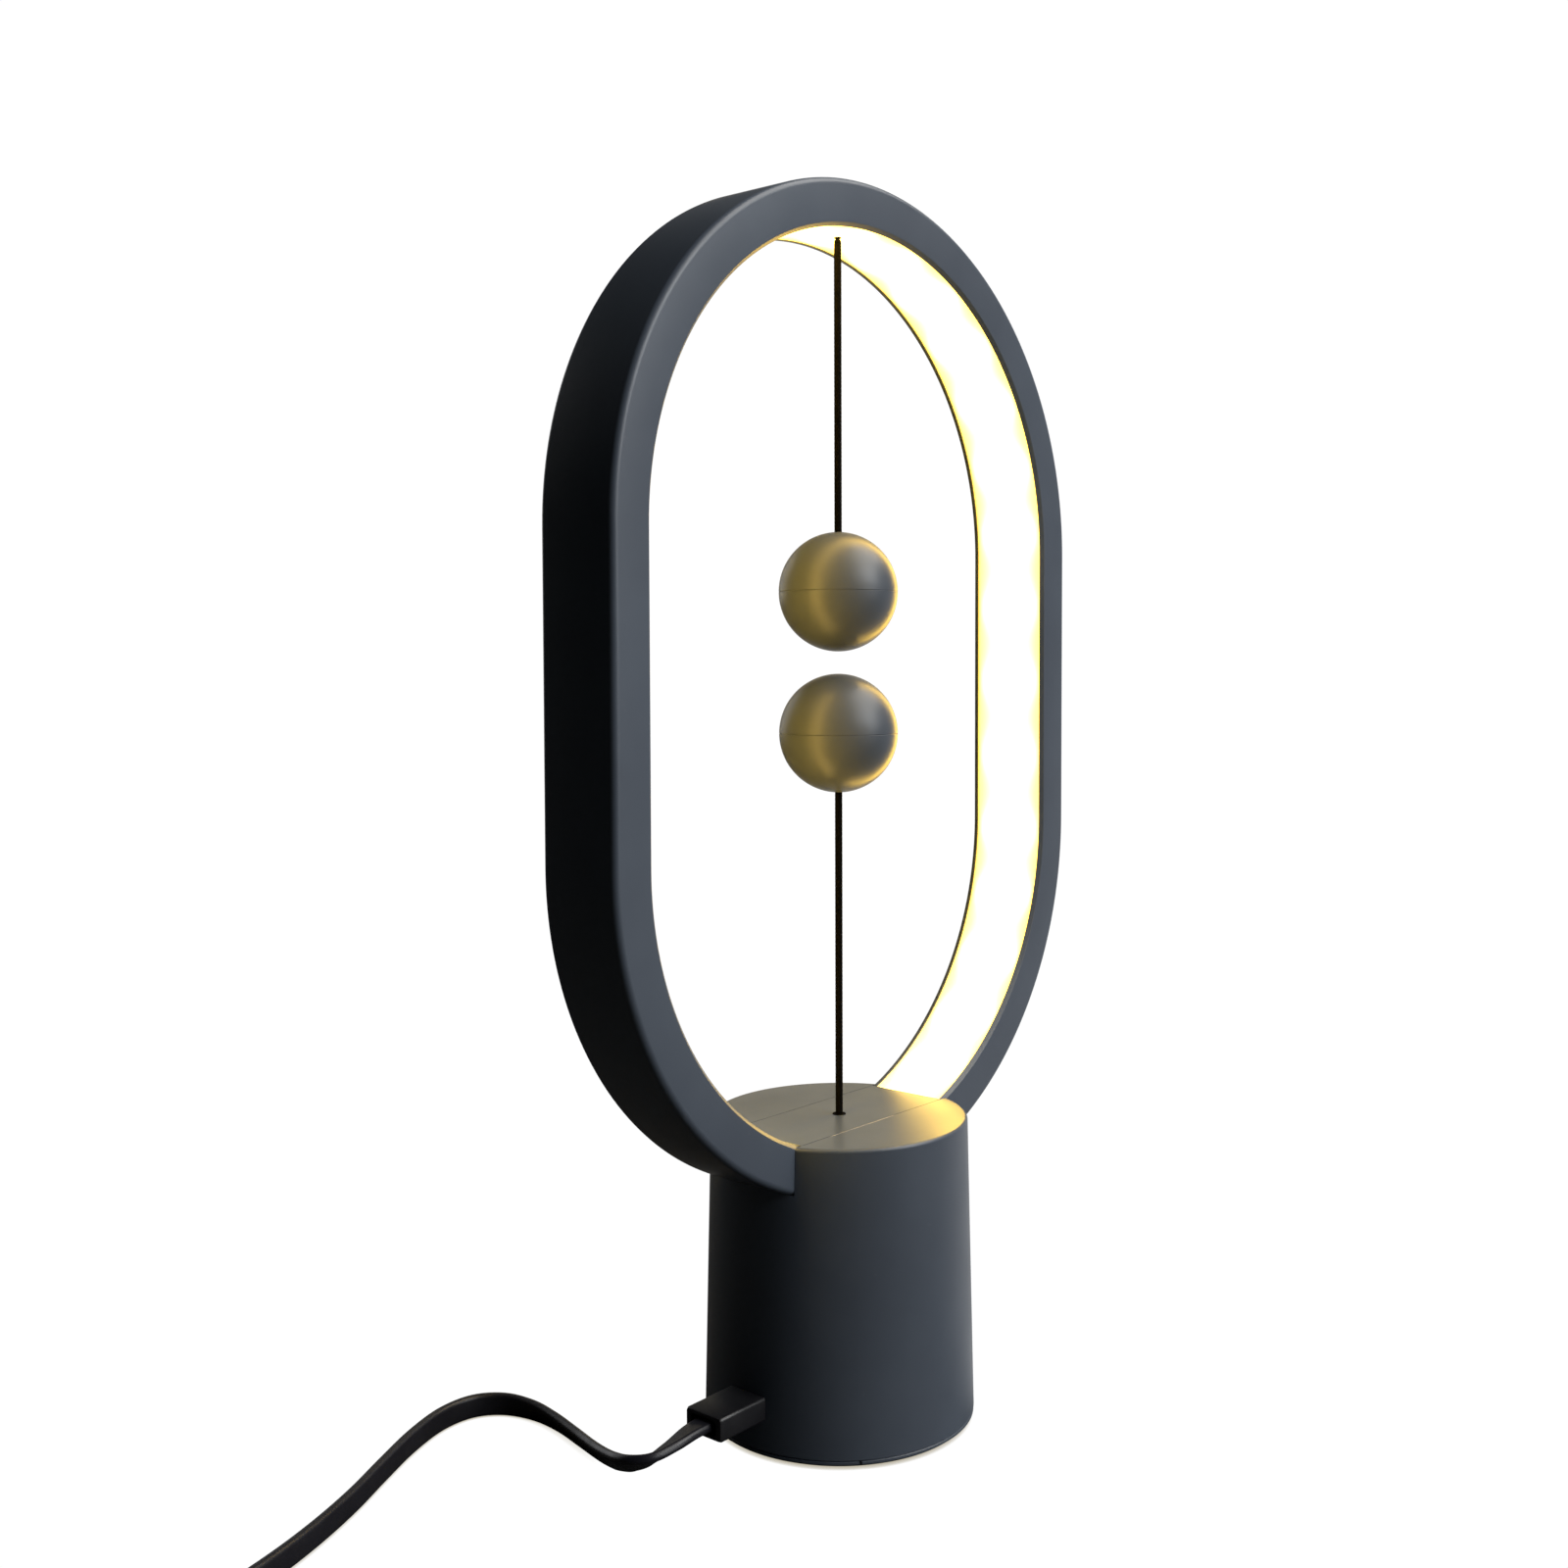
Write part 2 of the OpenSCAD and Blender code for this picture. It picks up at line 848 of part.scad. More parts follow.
spring_low_z = flange_z + flange_t + spring_wire_r + 0.05;
spring_high_z = guide_low_z - spring_wire_r - 0.05;
spring_rings = 12;
spring_steps = spring_turns * spring_rings;
spring_path = [for (i = [0:spring_steps])
    let (a = 360 * i / spring_rings)
    [
        spring_r * cos(a),
        spring_r * sin(a),
        spring_low_z + (spring_high_z - spring_low_z) * i / spring_steps,
        0
    ]];

module plunger_spring() {
    color(steel)
        tube(spring_path, round_section(spring_wire_r, 6));
}

module plunger_guide() {
    color(white_plastic)
        difference() {
            union() {
                translate([0, 0, guide_low_z])
                    cylinder(r = guide_r, h = hanger_z - guide_low_z, $fn = 48);
                translate([-plate_x - 3, -3.6, hanger_z - 2])
                    cube([2 * plate_x + 6, 7.2, 2]);
                translate([plate_x - 3, switch_w / 2 + 0.05, switch_low_z + 1])
                    cube([11, 1.6, hanger_z - switch_low_z - 1]);
                translate([plate_x - 3, 3, hanger_z - 2])
                    cube([11, 1.6, 2]);
            }
            translate([0, 0, guide_low_z - 1])
                cylinder(r = plunger_r + 0.05, h = 20, $fn = 48);
            for (x = [-plate_x, plate_x])
                translate([x, 0, hanger_z - 3])
                    cylinder(r = 1.1, h = 4, $fn = 32);
        }
}

module guide_screws() {
    color(steel)
        for (x = [-plate_x, plate_x])
            translate([x, 0, hanger_z - 2])
                pan_screw(0.92, 5, 1.8, 1.2);
}

module microswitch_body() {
    color(lead_black)
        difference() {
            union() {
                translate([switch_x0, -switch_w / 2, switch_low_z])
                    cube([switch_len, switch_w, switch_h]);
                translate([lever_pivot_x - 1, -2.6, lever_z])
                    cube([2, 0.8, switch_low_z - lever_z + eps]);
                translate([lever_pivot_x - 1, 1.8, lever_z])
                    cube([2, 0.8, switch_low_z - lever_z + eps]);
            }
            translate([lever_pivot_x - 4, 0, switch_low_z - eps])
                cylinder(r = 0.95, h = 3, $fn = 32);
            for (x = [switch_x0 + 3.2, switch_x0 + 9.6])
                translate([x, 0, switch_low_z + 4])
                    rotate([90, 0, 0])
                        cylinder(r = 0.9, h = 20, center = true, $fn = 32);
        }
}

// Thin lever under the switch, hinged at its far end, whose tip rests over the plunger's arm
module switch_lever() {
    color(steel) {
        translate([switch_x0 - 0.5, -1.6, lever_z])
            cube([lever_pivot_x - switch_x0, 3.2, lever_t]);
        translate([lever_pivot_x, 0, lever_z + 0.6])
            rotate([90, 0, 0])
                cylinder(r = 0.6, h = 3.5, center = true, $fn = 32);
    }
}

module switch_button() {
    color(white_plastic)
        translate([lever_pivot_x - 4, 0, lever_z + lever_t + 0.1])
            cylinder(r = 0.9, h = switch_low_z - lever_z - lever_t + 1.6, $fn = 32);
}

// ---- Weight, bottom plate, foot ----

module ballast_disc() {
    color(steel)
        difference() {
            translate([0, 0, plate_top_z])
                cylinder(d = ballast_d, h = ballast_t);
            for (p = board_screw_xy)
                translate([p[0], p[1], 0])
                    cylinder(r = post_r + 0.4, h = 20, $fn = 32);
        }
}

notch_angle = -132;

module base_plate() {
    color(soft_touch)
        difference() {
            union() {
                rotate_extrude($fn = 180) {
                    polygon([
                        [0, pad_t], [foot_r - 1, pad_t], [foot_r - 0.1, pad_t + 0.7],
                        [foot_r - 0.1, seam_z - 0.3], [foot_r - 0.4, seam_z], [0, seam_z]
                    ]);
                    translate([0, seam_z - eps])
                        square([foot_r - wall - 0.2, plate_top_z - seam_z + eps]);
                }
                for (p = board_screw_xy)
                    translate([p[0], p[1], plate_top_z - eps])
                        cylinder(r = post_r, h = board_low_z - plate_top_z + eps, $fn = 32);
            }
            for (a = [45:90:315])
                rotate([0, 0, a])
                    translate([boss_ring_r, 0, 0]) {
                        cylinder(r = 1.6, h = 10, $fn = 32);
                        cylinder(r = 3, h = pad_t + 1.9, $fn = 32);
                    }
            for (p = board_screw_xy)
                translate([p[0], p[1], plate_top_z + 1])
                    cylinder(r = 0.95, h = 20, $fn = 32);
            rotate([0, 0, notch_angle])
                translate([foot_r - 0.7, -0.4, 0])
                    cube([2, 0.8, seam_z + 1]);
        }
}

module plate_screws() {
    color(steel)
        for (a = [45:90:315])
            rotate([0, 0, a])
                translate([boss_ring_r, 0, pad_t + 1.9])
                    pan_screw(screw_r, 11, 2.7, 1.6);
}

module foot_pad() {
    color(foam_black)
        cylinder(r = foot_r - 2.8, h = pad_t, $fn = 180);
}

// ---- Board, socket and wires ----

module circuit_board() {
    color(board_green)
        difference() {
            intersection() {
                translate([board_x0, -board_half_y, board_low_z])
                    cube([board_x1 - board_x0, 2 * board_half_y, board_t]);
                cylinder(r = -board_x0, h = 40, $fn = 180);
            }
            for (p = board_screw_xy)
                translate([p[0], p[1], 0])
                    cylinder(r = 1.1, h = 40, $fn = 32);
        }
}

module board_parts() {
    color(lead_black)
        translate([-25, -3, board_top_z])
            cube([5, 6, 1.5]);
    color(steel)
        translate([-26, -9.5, board_top_z])
            cylinder(r = 2, h = 5, $fn = 32);
    color(foam_black)
        translate([-16.5, -10, board_top_z])
            cube([5.5, 5.5, 3]);
    color(white_plastic)
        for (y = [2.2, 7.6])
            translate([-14.5, y, board_top_z])
                cube([4.5, 4.6, 4]);
}

module board_screws() {
    color(steel)
        for (p = board_screw_xy)
            translate([p[0], p[1], board_top_z])
                mirror([0, 0, 1])
                    pan_screw(0.92, 6, 1.7, 1.2);
}

module usb_socket() {
    color(nickel)
        difference() {
            bar_along_x(socket_x0, socket_len, 0, plug_z, tip_w + 0.75, tip_h + 0.75, 0.6);
            bar_along_x(socket_x0 - 1, socket_len, 0, plug_z, tip_w + 0.15, tip_h + 0.15, 0.4);
        }
}

wire_r = 0.6;
wire_gap = 1.5;
led_wire_route = [
    [-35, 0, 77.1], [-33, 0, 77], [-31, 0, 76.5], [-29.4, 0, 75.3], [-29.1, 0, 73.6],
    [-29.5, 0, 71.4], [-29.7, 0, 68.5], [-29, 0, 62], [-27.5, 0.2, 52], [-24.5, 0.8, 42],
    [-20, 2.2, 30], [-15, 3.8, 23], [-12.4, 4.5, 19.5], [-12.25, 4.5, 17.8]
];
switch_wire_route = [
    [switch_x0 + switch_len, 0, 52], [24.2, 0, 51.2], [25.6, 0.5, 47], [25.4, 1.5, 40],
    [22, 3.5, 31], [14, 6, 25], [4, 8.4, 22.6], [-5, 9.6, 22.4], [-10.6, 9.9, 21.6],
    [-12.2, 9.9, 19.8], [-12.25, 9.9, 17.8]
];

// Two wires side by side along a route
module wire_pair(route, first_colour, second_colour) {
    for (side = [-1, 1])
        color(side < 0 ? first_colour : second_colour)
            tube([for (q = route) [q[0], q[1] + side * wire_gap / 2, q[2], 0]],
                round_section(wire_r, 8), [0, 1, 0]);
}

module led_wires() {
    wire_pair(led_wire_route, "firebrick", cord_black);
}

module switch_wires() {
    wire_pair(switch_wire_route, "gold", cord_black);
}

// ---- Supply lead and its plugs ----

module lamp_plug_housing() {
    color(lead_black)
        difference() {
            bar_along_x(plug_rear_x, plug_len, 0, plug_z, plug_w, plug_h, 1.6);
            bar_along_x(plug_rear_x - 1, plug_recess + 1, 0, plug_z, slot_w, slot_h, 0.8);
            bar_along_x(plug_front_x - 1, 2, 0, plug_z, tip_w, tip_h, 0.3);
        }
}

module lamp_plug_tip() {
    color(nickel)
        bar_along_x(plug_front_x - 1, 6.6, 0, plug_z, tip_w, tip_h, 0.3);
}

module lead_stretch() {
    color(lead_black)
        tube(lead_route, lead_section);
}

module lead_coil() {
    color(lead_black)
        tube(coil_path, coil_section);
}

module lead_tail() {
    color(lead_black)
        tube(tail_route, lead_section);
}

// Strap closed round the turns on the side away from the lamp
tie_w = 9;
tie_t = 0.6;
tie_angle = 195;
tie_in_r = coil_out_r - coil_step * coil_turns / 2 - lead_t / 2 - 0.5;
tie_across = coil_out_r + lead_t / 2 + 0.5 - tie_in_r;
tie_low_z = coil_low_z - lead_w / 2 - 0.05;
tie_high = coil_layer + lead_w + 0.35;

module lead_tie() {
    color(foam_black)
        translate([coil_x, coil_y, 0])
            rotate([0, 0, tie_angle])
                difference() {
                    translate([tie_in_r - tie_t, -tie_w / 2, tie_low_z - tie_t])
                        cube([tie_across + 2 * tie_t, tie_w, tie_high + 2 * tie_t]);
                    translate([tie_in_r, -tie_w, tie_low_z])
                        cube([tie_across, 2 * tie_w, tie_high]);
                }
}

module usb_a_housing() {
    color(lead_black)
        difference() {
            bar_along_x(big_plug_x, big_plug_len, tail_y, big_plug_z, big_plug_w, big_plug_h, 1.8);
            bar_along_x(big_plug_x - 1, 2, tail_y, big_plug_z, lead_w + 0.2, lead_t + 0.2, 0.8);
            bar_along_x(big_shell_x - 2, 3, tail_y, big_plug_z, big_shell_w, big_shell_h, 0.4);
        }
}

module usb_a_shell() {
    color(nickel)
        translate([big_shell_x, tail_y, big_plug_z])
            difference() {
                bar_along_x(-2, big_shell_len + 2, 0, 0, big_shell_w, big_shell_h, 0.4);
                bar_along_x(-1.6, big_shell_len + 2, 0, 0, big_shell_w - 0.6, big_shell_h - 0.6, 0.2);
                for (s = [-1, 1], y = [-1, 1])
                    translate([10.4, y * 2.8 - 1.2, s * 1.6 - 1])
                        cube([2.4, 2.4, 2]);
            }
}

module usb_a_tongue() {
    color(white_plastic)
        translate([
            big_shell_x - 1.6,
            tail_y - big_shell_w / 2 + 0.4,
            big_plug_z - big_shell_h / 2 + 0.4
        ])
            cube([big_shell_len, big_shell_w - 0.8, 1.8]);
}

loop_frame();
diffuser();
led_strip();
led_chips();
cord_anchor();
upper_cord_stub();
upper_cord_pivot();
upper_cord();
upper_ball_top();
upper_ball_bottom();
upper_magnet_cup();
upper_magnet();
lower_cord_pivot();
lower_cord();
lower_ball_knot();
lower_ball_top();
lower_ball_bottom();
lower_magnet_cup();
lower_magnet();
base_shell();
top_deck();
cord_bushing();
frame_screws();
frame_nuts();
cord_tail();
switch_plunger();
plunger_spring();
plunger_guide();
guide_screws();
microswitch_body();
switch_lever();
switch_button();
ballast_disc();
base_plate();
plate_screws();
foot_pad();
circuit_board();
board_parts();
board_screws();
usb_socket();
led_wires();
switch_wires();
lamp_plug_housing();
lamp_plug_tip();
lead_stretch();
lead_coil();
lead_tail();
lead_tie();
usb_a_housing();
usb_a_shell();
usb_a_tongue();
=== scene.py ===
# Magnetic balance lamp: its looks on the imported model. Shapes are written in millimetres.
# The object coordinates that materials read are in metres.
import math
import bmesh
import bpy
import numpy as np
from mathutils import Matrix


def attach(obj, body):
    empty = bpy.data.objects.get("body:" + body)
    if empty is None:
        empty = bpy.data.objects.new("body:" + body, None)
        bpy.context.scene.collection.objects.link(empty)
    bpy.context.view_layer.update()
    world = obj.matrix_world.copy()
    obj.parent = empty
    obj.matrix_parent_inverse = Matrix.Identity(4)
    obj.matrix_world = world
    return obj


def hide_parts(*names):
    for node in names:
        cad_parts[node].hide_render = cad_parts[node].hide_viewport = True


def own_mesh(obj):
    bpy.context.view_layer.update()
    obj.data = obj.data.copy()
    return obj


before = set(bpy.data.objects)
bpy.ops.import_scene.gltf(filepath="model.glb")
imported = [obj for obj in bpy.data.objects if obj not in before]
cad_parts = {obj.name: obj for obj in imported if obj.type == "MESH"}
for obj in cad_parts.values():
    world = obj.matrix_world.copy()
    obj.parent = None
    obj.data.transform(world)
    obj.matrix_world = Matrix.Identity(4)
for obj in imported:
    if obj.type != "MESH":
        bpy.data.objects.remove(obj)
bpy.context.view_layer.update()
scene = bpy.context.scene
MM = 0.001

# ---- Camera, fitted to the photograph ----

IMAGE = 1600  # side of the photograph, in pixels
FOCAL = 1747.149  # focal length, in pixels
AXIS_X, AXIS_Y = 855.611, 749.752  # where the view's axis meets the photograph, in pixels
SENSOR = 36

cam_data = bpy.data.cameras.new("camera")
cam = bpy.data.objects.new("camera", cam_data)
scene.collection.objects.link(cam)
cam.matrix_world = Matrix((
    (0.6386285, 0.0350759, -0.7687153, -0.3804847),
    (-0.7695130, 0.0267185, -0.6380720, -0.3158212),
    (-0.0018420, 0.9990274, 0.0440546, 0.2200155),
    (0, 0, 0, 1)))
cam_data.sensor_width = SENSOR
cam_data.lens = FOCAL * SENSOR / IMAGE
cam_data.shift_x = -(AXIS_X - IMAGE / 2) / IMAGE
cam_data.shift_y = (AXIS_Y - IMAGE / 2) / IMAGE
cam_data.clip_start = 0.01
scene.camera = cam

# ---- Mesh tools ----


def link_mesh(name, verts, faces, uvs=None, angle=35, edge=None):
    """A smooth-shaded object. uvs has one pair for each corner of each face, edge one value a vertex."""
    me = bpy.data.meshes.new(name)
    me.from_pydata((np.asarray(verts, float) * MM).tolist(), [], faces)
    if uvs is not None:
        layer = me.uv_layers.new(name="UVMap")
        layer.data.foreach_set("uv", np.asarray(uvs, np.float32).ravel())
    if edge is not None:
        at = me.attributes.new("edge", "FLOAT", "POINT")
        at.data.foreach_set("value", np.asarray(edge, np.float32))
    bm = bmesh.new()
    bm.from_mesh(me)
    bmesh.ops.recalc_face_normals(bm, faces=bm.faces)
    bm.to_mesh(me)
    bm.free()
    me.shade_smooth()
    me.set_sharp_from_angle(angle=math.radians(angle))
    ob = bpy.data.objects.new(name, me)
    scene.collection.objects.link(ob)
    return ob


def run_length(line):
    """Length along a line of points, at each of them."""
    steps = np.linalg.norm(np.diff(line, axis=0), axis=1)
    return np.concatenate([[0], np.cumsum(steps)])


def grid(name, pts, closed=False, v_len=None, angle=35, edge=None):
    """Skin over rings of points, pts[ring, point]. UV is millimetres round the ring and along the rings.

    closed joins the last ring to the first. Otherwise a cap closes each end.
    """
    pts = np.asarray(pts, float)
    m, n, _ = pts.shape
    u = run_length(np.vstack([pts[0], pts[0][:1]]))
    v = list(run_length(pts.mean(1)) if v_len is None else v_len)
    v.append(v[-1] + (v[-1] - v[-2]))
    faces, uvs = [], []
    for i in range(m if closed else m - 1):
        j = (i + 1) % m
        for k in range(n):
            after = (k + 1) % n
            faces.append((i * n + k, i * n + after, j * n + after, j * n + k))
            uvs += [(u[k], v[i]), (u[k + 1], v[i]), (u[k + 1], v[i + 1]), (u[k], v[i + 1])]
    if not closed:
        faces.append(tuple(reversed(range(n))))
        uvs += [(p, 0) for p in reversed(u[:-1])]
        faces.append(tuple(range((m - 1) * n, m * n)))
        uvs += [(p, 0) for p in u[:-1]]
    if edge is not None:
        edge = np.broadcast_to(edge, (m, n)).ravel()
    return link_mesh(name, pts.reshape(-1, 3), faces, uvs, angle, edge)


def rounded(points, radii, seg):
    """Corners of a closed polygon rounded, with seg steps each. radii is one number, or one a corner."""
    out = []
    n = len(points)
    for i in range(n):
        p = np.array(points[i], float)
        a = np.array(points[i - 1], float) - p
        b = np.array(points[(i + 1) % n], float) - p
        a /= np.linalg.norm(a)
        b /= np.linalg.norm(b)
        half = math.acos(max(-1, min(1, float(a @ b)))) / 2
        r = radii[i] if hasattr(radii, "__len__") else radii
        t = r / math.tan(half)
        mid = (a + b) / np.linalg.norm(a + b)
        c = p + mid * r / math.sin(half)
        start = p + a * t - c
        end = p + b * t - c
        a0 = math.atan2(start[1], start[0])
        a1 = math.atan2(end[1], end[0])
        turn = (a1 - a0 + math.pi) % (2 * math.pi) - math.pi
        for k in range(seg + 1):
            ang = a0 + turn * k / seg
            out.append(c + r * np.array([math.cos(ang), math.sin(ang)]))
    return np.array(out)


def box_section(w, h, r, seg=6):
    """Rectangle w by h with rounded corners."""
    return rounded([(-w / 2, -h / 2), (w / 2, -h / 2), (w / 2, h / 2), (-w / 2, h / 2)], r, seg)


def along_x(name, stations, y, z):
    """Skin over sections square to X. Stations are (x, section), and the sections stand round y and z."""
    rings = [[(x, y + p[0], z + p[1]) for p in section] for x, section in stations]
    return grid(name, rings)


def lathe(name, profile, n, closed=False):
    """Turns a profile of (r, z) about Z in n steps."""
    prof = np.asarray(profile, float)
    a = np.arange(n) * 2 * math.pi / n
    r = prof[:, 0, None]
    z = np.broadcast_to(prof[:, 1, None], (len(prof), n))
    return grid(name, np.stack([r * np.cos(a), r * np.sin(a), z], -1), closed=closed, v_len=run_length(prof))


def smooth_line(points, per):
    """Catmull-Rom line through points of any width, with per steps to each."""
    p = np.asarray(points, float)
    p = np.vstack([2 * p[0] - p[1], p, 2 * p[-1] - p[-2]])
    out = []
    for i in range(1, len(p) - 2):
        a, b, c, d = p[i - 1], p[i], p[i + 1], p[i + 2]
        for k in range(per):
            t = k / per
            out.append(0.5 * (2 * b + (c - a) * t + (2 * a - 5 * b + 4 * c - d) * t * t
                              + (3 * b - a - 3 * c + d) * t ** 3))
    out.append(p[-2])
    return np.array(out)


def sweep(name, line, turns, section, angle):
    """Skin along a line. The section is turned by degrees about the line, as in the part's source."""
    tan = np.gradient(line, axis=0)
    tan /= np.linalg.norm(tan, axis=1)[:, None]
    across = np.cross([0, 0, 1], tan)
    across /= np.linalg.norm(across, axis=1)[:, None]
    up = np.cross(tan, across)
    rings = []
    for i, c in enumerate(line):
        q = math.radians(turns[i])
        x = section[:, 0] * math.cos(q) - section[:, 1] * math.sin(q)
        y = section[:, 0] * math.sin(q) + section[:, 1] * math.cos(q)
        rings.append(c + x[:, None] * across[i] + y[:, None] * up[i])
    return grid(name, rings, angle=angle)


def carved(ob, cutter):
    """Cuts one mesh out of another and removes the cutter."""
    cut = ob.modifiers.new("cut", "BOOLEAN")
    cut.object = cutter
    cut.solver = "EXACT"
    bpy.context.view_layer.update()
    me = bpy.data.meshes.new_from_object(ob.evaluated_get(bpy.context.evaluated_depsgraph_get()))
    me.materials.clear()
    me.set_sharp_from_angle(angle=math.radians(30))
    ob.modifiers.clear()
    ob.data = me
    bpy.data.objects.remove(cutter)
    return ob


def joined(obs, name):
    """One mesh out of several that share a material."""
    bm = bmesh.new()
    for ob in obs:
        bm.from_mesh(ob.data)
    me = obs[0].data
    bm.to_mesh(me)
    bm.free()
    for ob in obs[1:]:
        bpy.data.objects.remove(ob)
    obs[0].name = name
    return obs[0]


# ---- Node tools ----


class Mat:
    """A material's node tree, with short ways to add nodes."""

    def __init__(self, name):
        self.mat = bpy.data.materials.new(name)
        self.mat.use_nodes = True
        self.t = self.mat.node_tree
        self.p = self.t.nodes["Principled BSDF"]
        self.obj = self.t.nodes.new("ShaderNodeTexCoord").outputs["Object"]

    def put(self, socket, value):
        """Links a socket's value, or sets a constant on the socket itself."""
        if isinstance(value, bpy.types.NodeSocket):
            self.t.links.new(value, socket)
        elif hasattr(value, "__len__") and len(value) == 3 and socket.type == "RGBA":
            socket.default_value = (*value, 1)
        else:
            socket.default_value = value

    def set(self, **values):
        """Fills inputs of the Principled shader by name, with _ for a space."""
        for k, v in values.items():
            self.put(self.p.inputs[k.replace("_", " ")], v)

    def math(self, op, a, b=0.0):
        n = self.t.nodes.new("ShaderNodeMath")
        n.operation = op
        self.put(n.inputs[0], a)
        self.put(n.inputs[1], b)
        return n.outputs[0]

    def plus(self, a, b):
        return self.math("ADD", a, b)

    def minus(self, a, b):
        return self.math("SUBTRACT", a, b)

    def times(self, a, b):
        return self.math("MULTIPLY", a, b)

    def absolute(self, a):
        return self.math("ABSOLUTE", a)

    def noise(self, scale, detail=2.0, rough=0.5, vec=None):
        n = self.t.nodes.new("ShaderNodeTexNoise")
        self.put(n.inputs["Vector"], vec or self.obj)
        n.inputs["Scale"].default_value = scale
        n.inputs["Detail"].default_value = detail
        n.inputs["Roughness"].default_value = rough
        return n.outputs["Fac"]

    def cells(self, scale):
        n = self.t.nodes.new("ShaderNodeTexVoronoi")
        self.put(n.inputs["Vector"], self.obj)
        n.inputs["Scale"].default_value = scale
        return n.outputs["Distance"]

    def span(self, x, a, b, lo=0.0, hi=1.0, smooth=False):
        """Maps x from the span a to b onto lo to hi, and holds it at both ends."""
        n = self.t.nodes.new("ShaderNodeMapRange")
        if smooth:
            n.interpolation_type = "SMOOTHSTEP"
        for s, v in zip(n.inputs, (x, a, b, lo, hi)):
            self.put(s, v)
        return n.outputs[0]

    def mix(self, f, a, b):
        n = self.t.nodes.new("ShaderNodeMix")
        n.data_type = "RGBA"
        self.put(n.inputs[0], f)
        self.put(n.inputs[6], a)
        self.put(n.inputs[7], b)
        return n.outputs[2]

    def stretch(self, x, y, z):
        n = self.t.nodes.new("ShaderNodeMapping")
        self.put(n.inputs["Vector"], self.obj)
        n.inputs["Scale"].default_value = (x, y, z)
        return n.outputs[0]

    def split(self, vec=None):
        n = self.t.nodes.new("ShaderNodeSeparateXYZ")
        self.put(n.inputs[0], vec or self.obj)
        return n.outputs

    def uv(self):
        return self.t.nodes.new("ShaderNodeUVMap").outputs[0]

    def attr(self, name):
        n = self.t.nodes.new("ShaderNodeAttribute")
        n.attribute_name = name
        return n.outputs["Fac"]

    def facing(self):
        """0 where the surface is seen square on, 1 at its limb."""
        return self.t.nodes.new("ShaderNodeLayerWeight").outputs["Facing"]

    def bump(self, height, distance, strength=1.0, normal=None):
        n = self.t.nodes.new("ShaderNodeBump")
        n.inputs["Strength"].default_value = strength
        n.inputs["Distance"].default_value = distance
        self.put(n.inputs["Height"], height)
        if normal is not None:
            self.put(n.inputs["Normal"], normal)
        return n.outputs[0]


class WorldTree(Mat):
    """The world's node tree, with the same short ways."""

    def __init__(self, world):
        world.use_nodes = True
        self.t = world.node_tree
        self.obj = self.t.nodes.new("ShaderNodeTexCoord").outputs["Generated"]


# ---- Materials ----

SEAM_HIGHLIGHT_X, SEAM_HIGHLIGHT_Y = -0.0055, -0.01335  # middle of the painted highlight line along the deck's front seam, in metres
DECK_Z = 0.0873  # height above which paint is on the deck's top, in metres


def soft_touch(name, dark, light, rough, low_angle, relief, seam=False):
    """Satin paint over moulded plastic: fine grain, faint clouds, a few rubbed specks.

    low_angle is how much smoother it gets towards its limb. seam adds a painted highlight line along
    the deck's front seam, standing in for light catching its edge.
    """
    m = Mat(name)
    cloud = m.noise(22, 3, 0.6)
    grain = m.noise(2600, 2, 0.6)
    speck = m.span(m.noise(420, 4, 0.7), 0.66, 0.74)
    base = m.mix(m.span(cloud, 0.3, 0.7), dark, light)
    base = m.mix(m.times(speck, 0.05), base, (0.30, 0.31, 0.33))
    if seam:
        # Painted highlight: a thin cream line along the deck's front seam, broken up by noise, stands in for
        # light catching its edge.
        x, y, z = m.split()
        across = m.span(m.absolute(m.plus(y, -SEAM_HIGHLIGHT_Y)), 0.00022, 0.00010)
        along = m.span(m.absolute(m.plus(x, -SEAM_HIGHLIGHT_X)), 0.0150, 0.0135)
        on_top = m.span(z, 0.0870, DECK_Z)
        wear_and_highlight_breakup = m.span(m.noise(700, 2), 0.30, 0.50, 0.5, 1.0)
        line = m.times(m.times(across, along), m.times(on_top, wear_and_highlight_breakup))
        base = m.mix(line, base, (0.78, 0.70, 0.55))
    rub = m.span(m.noise(60, 3, 0.5), 0.35, 0.75, rough - 0.02, rough + 0.03)
    rub = m.minus(rub, m.times(m.facing(), low_angle))
    fine = m.bump(grain, 0.00002, relief)
    m.set(Base_Color=base, Roughness=rub, Normal=m.bump(m.noise(160, 2), 0.00002, relief * 0.25, fine))
    return m.mat


# Dark and light tone, roughness, how much smoother at the limb, relief.
SATIN = (0.058, 0.071, 0.093), (0.072, 0.088, 0.113), 0.42, 0.08, 0.20
paint = soft_touch("soft_touch_paint", *SATIN)
# The deck's paint, carrying the painted highlight along its front seam.
highlighted_base_paint = soft_touch("base_paint_seam_highlight", *SATIN, seam=True)
ball_paint = soft_touch("ball_paint", (0.066, 0.076, 0.090), (0.078, 0.089, 0.105), 0.46, 0.15, 0.06)

GLOW = 10.5  # emission strength
CHIP_PITCH = 24.26  # from one light chip to the next, along the light tape
FADE_FROM, FADE_TO = 347, 360  # lengths from the top of the loop, past the last chips
STRIP_HALF = 12.1  # half the diffuser's width


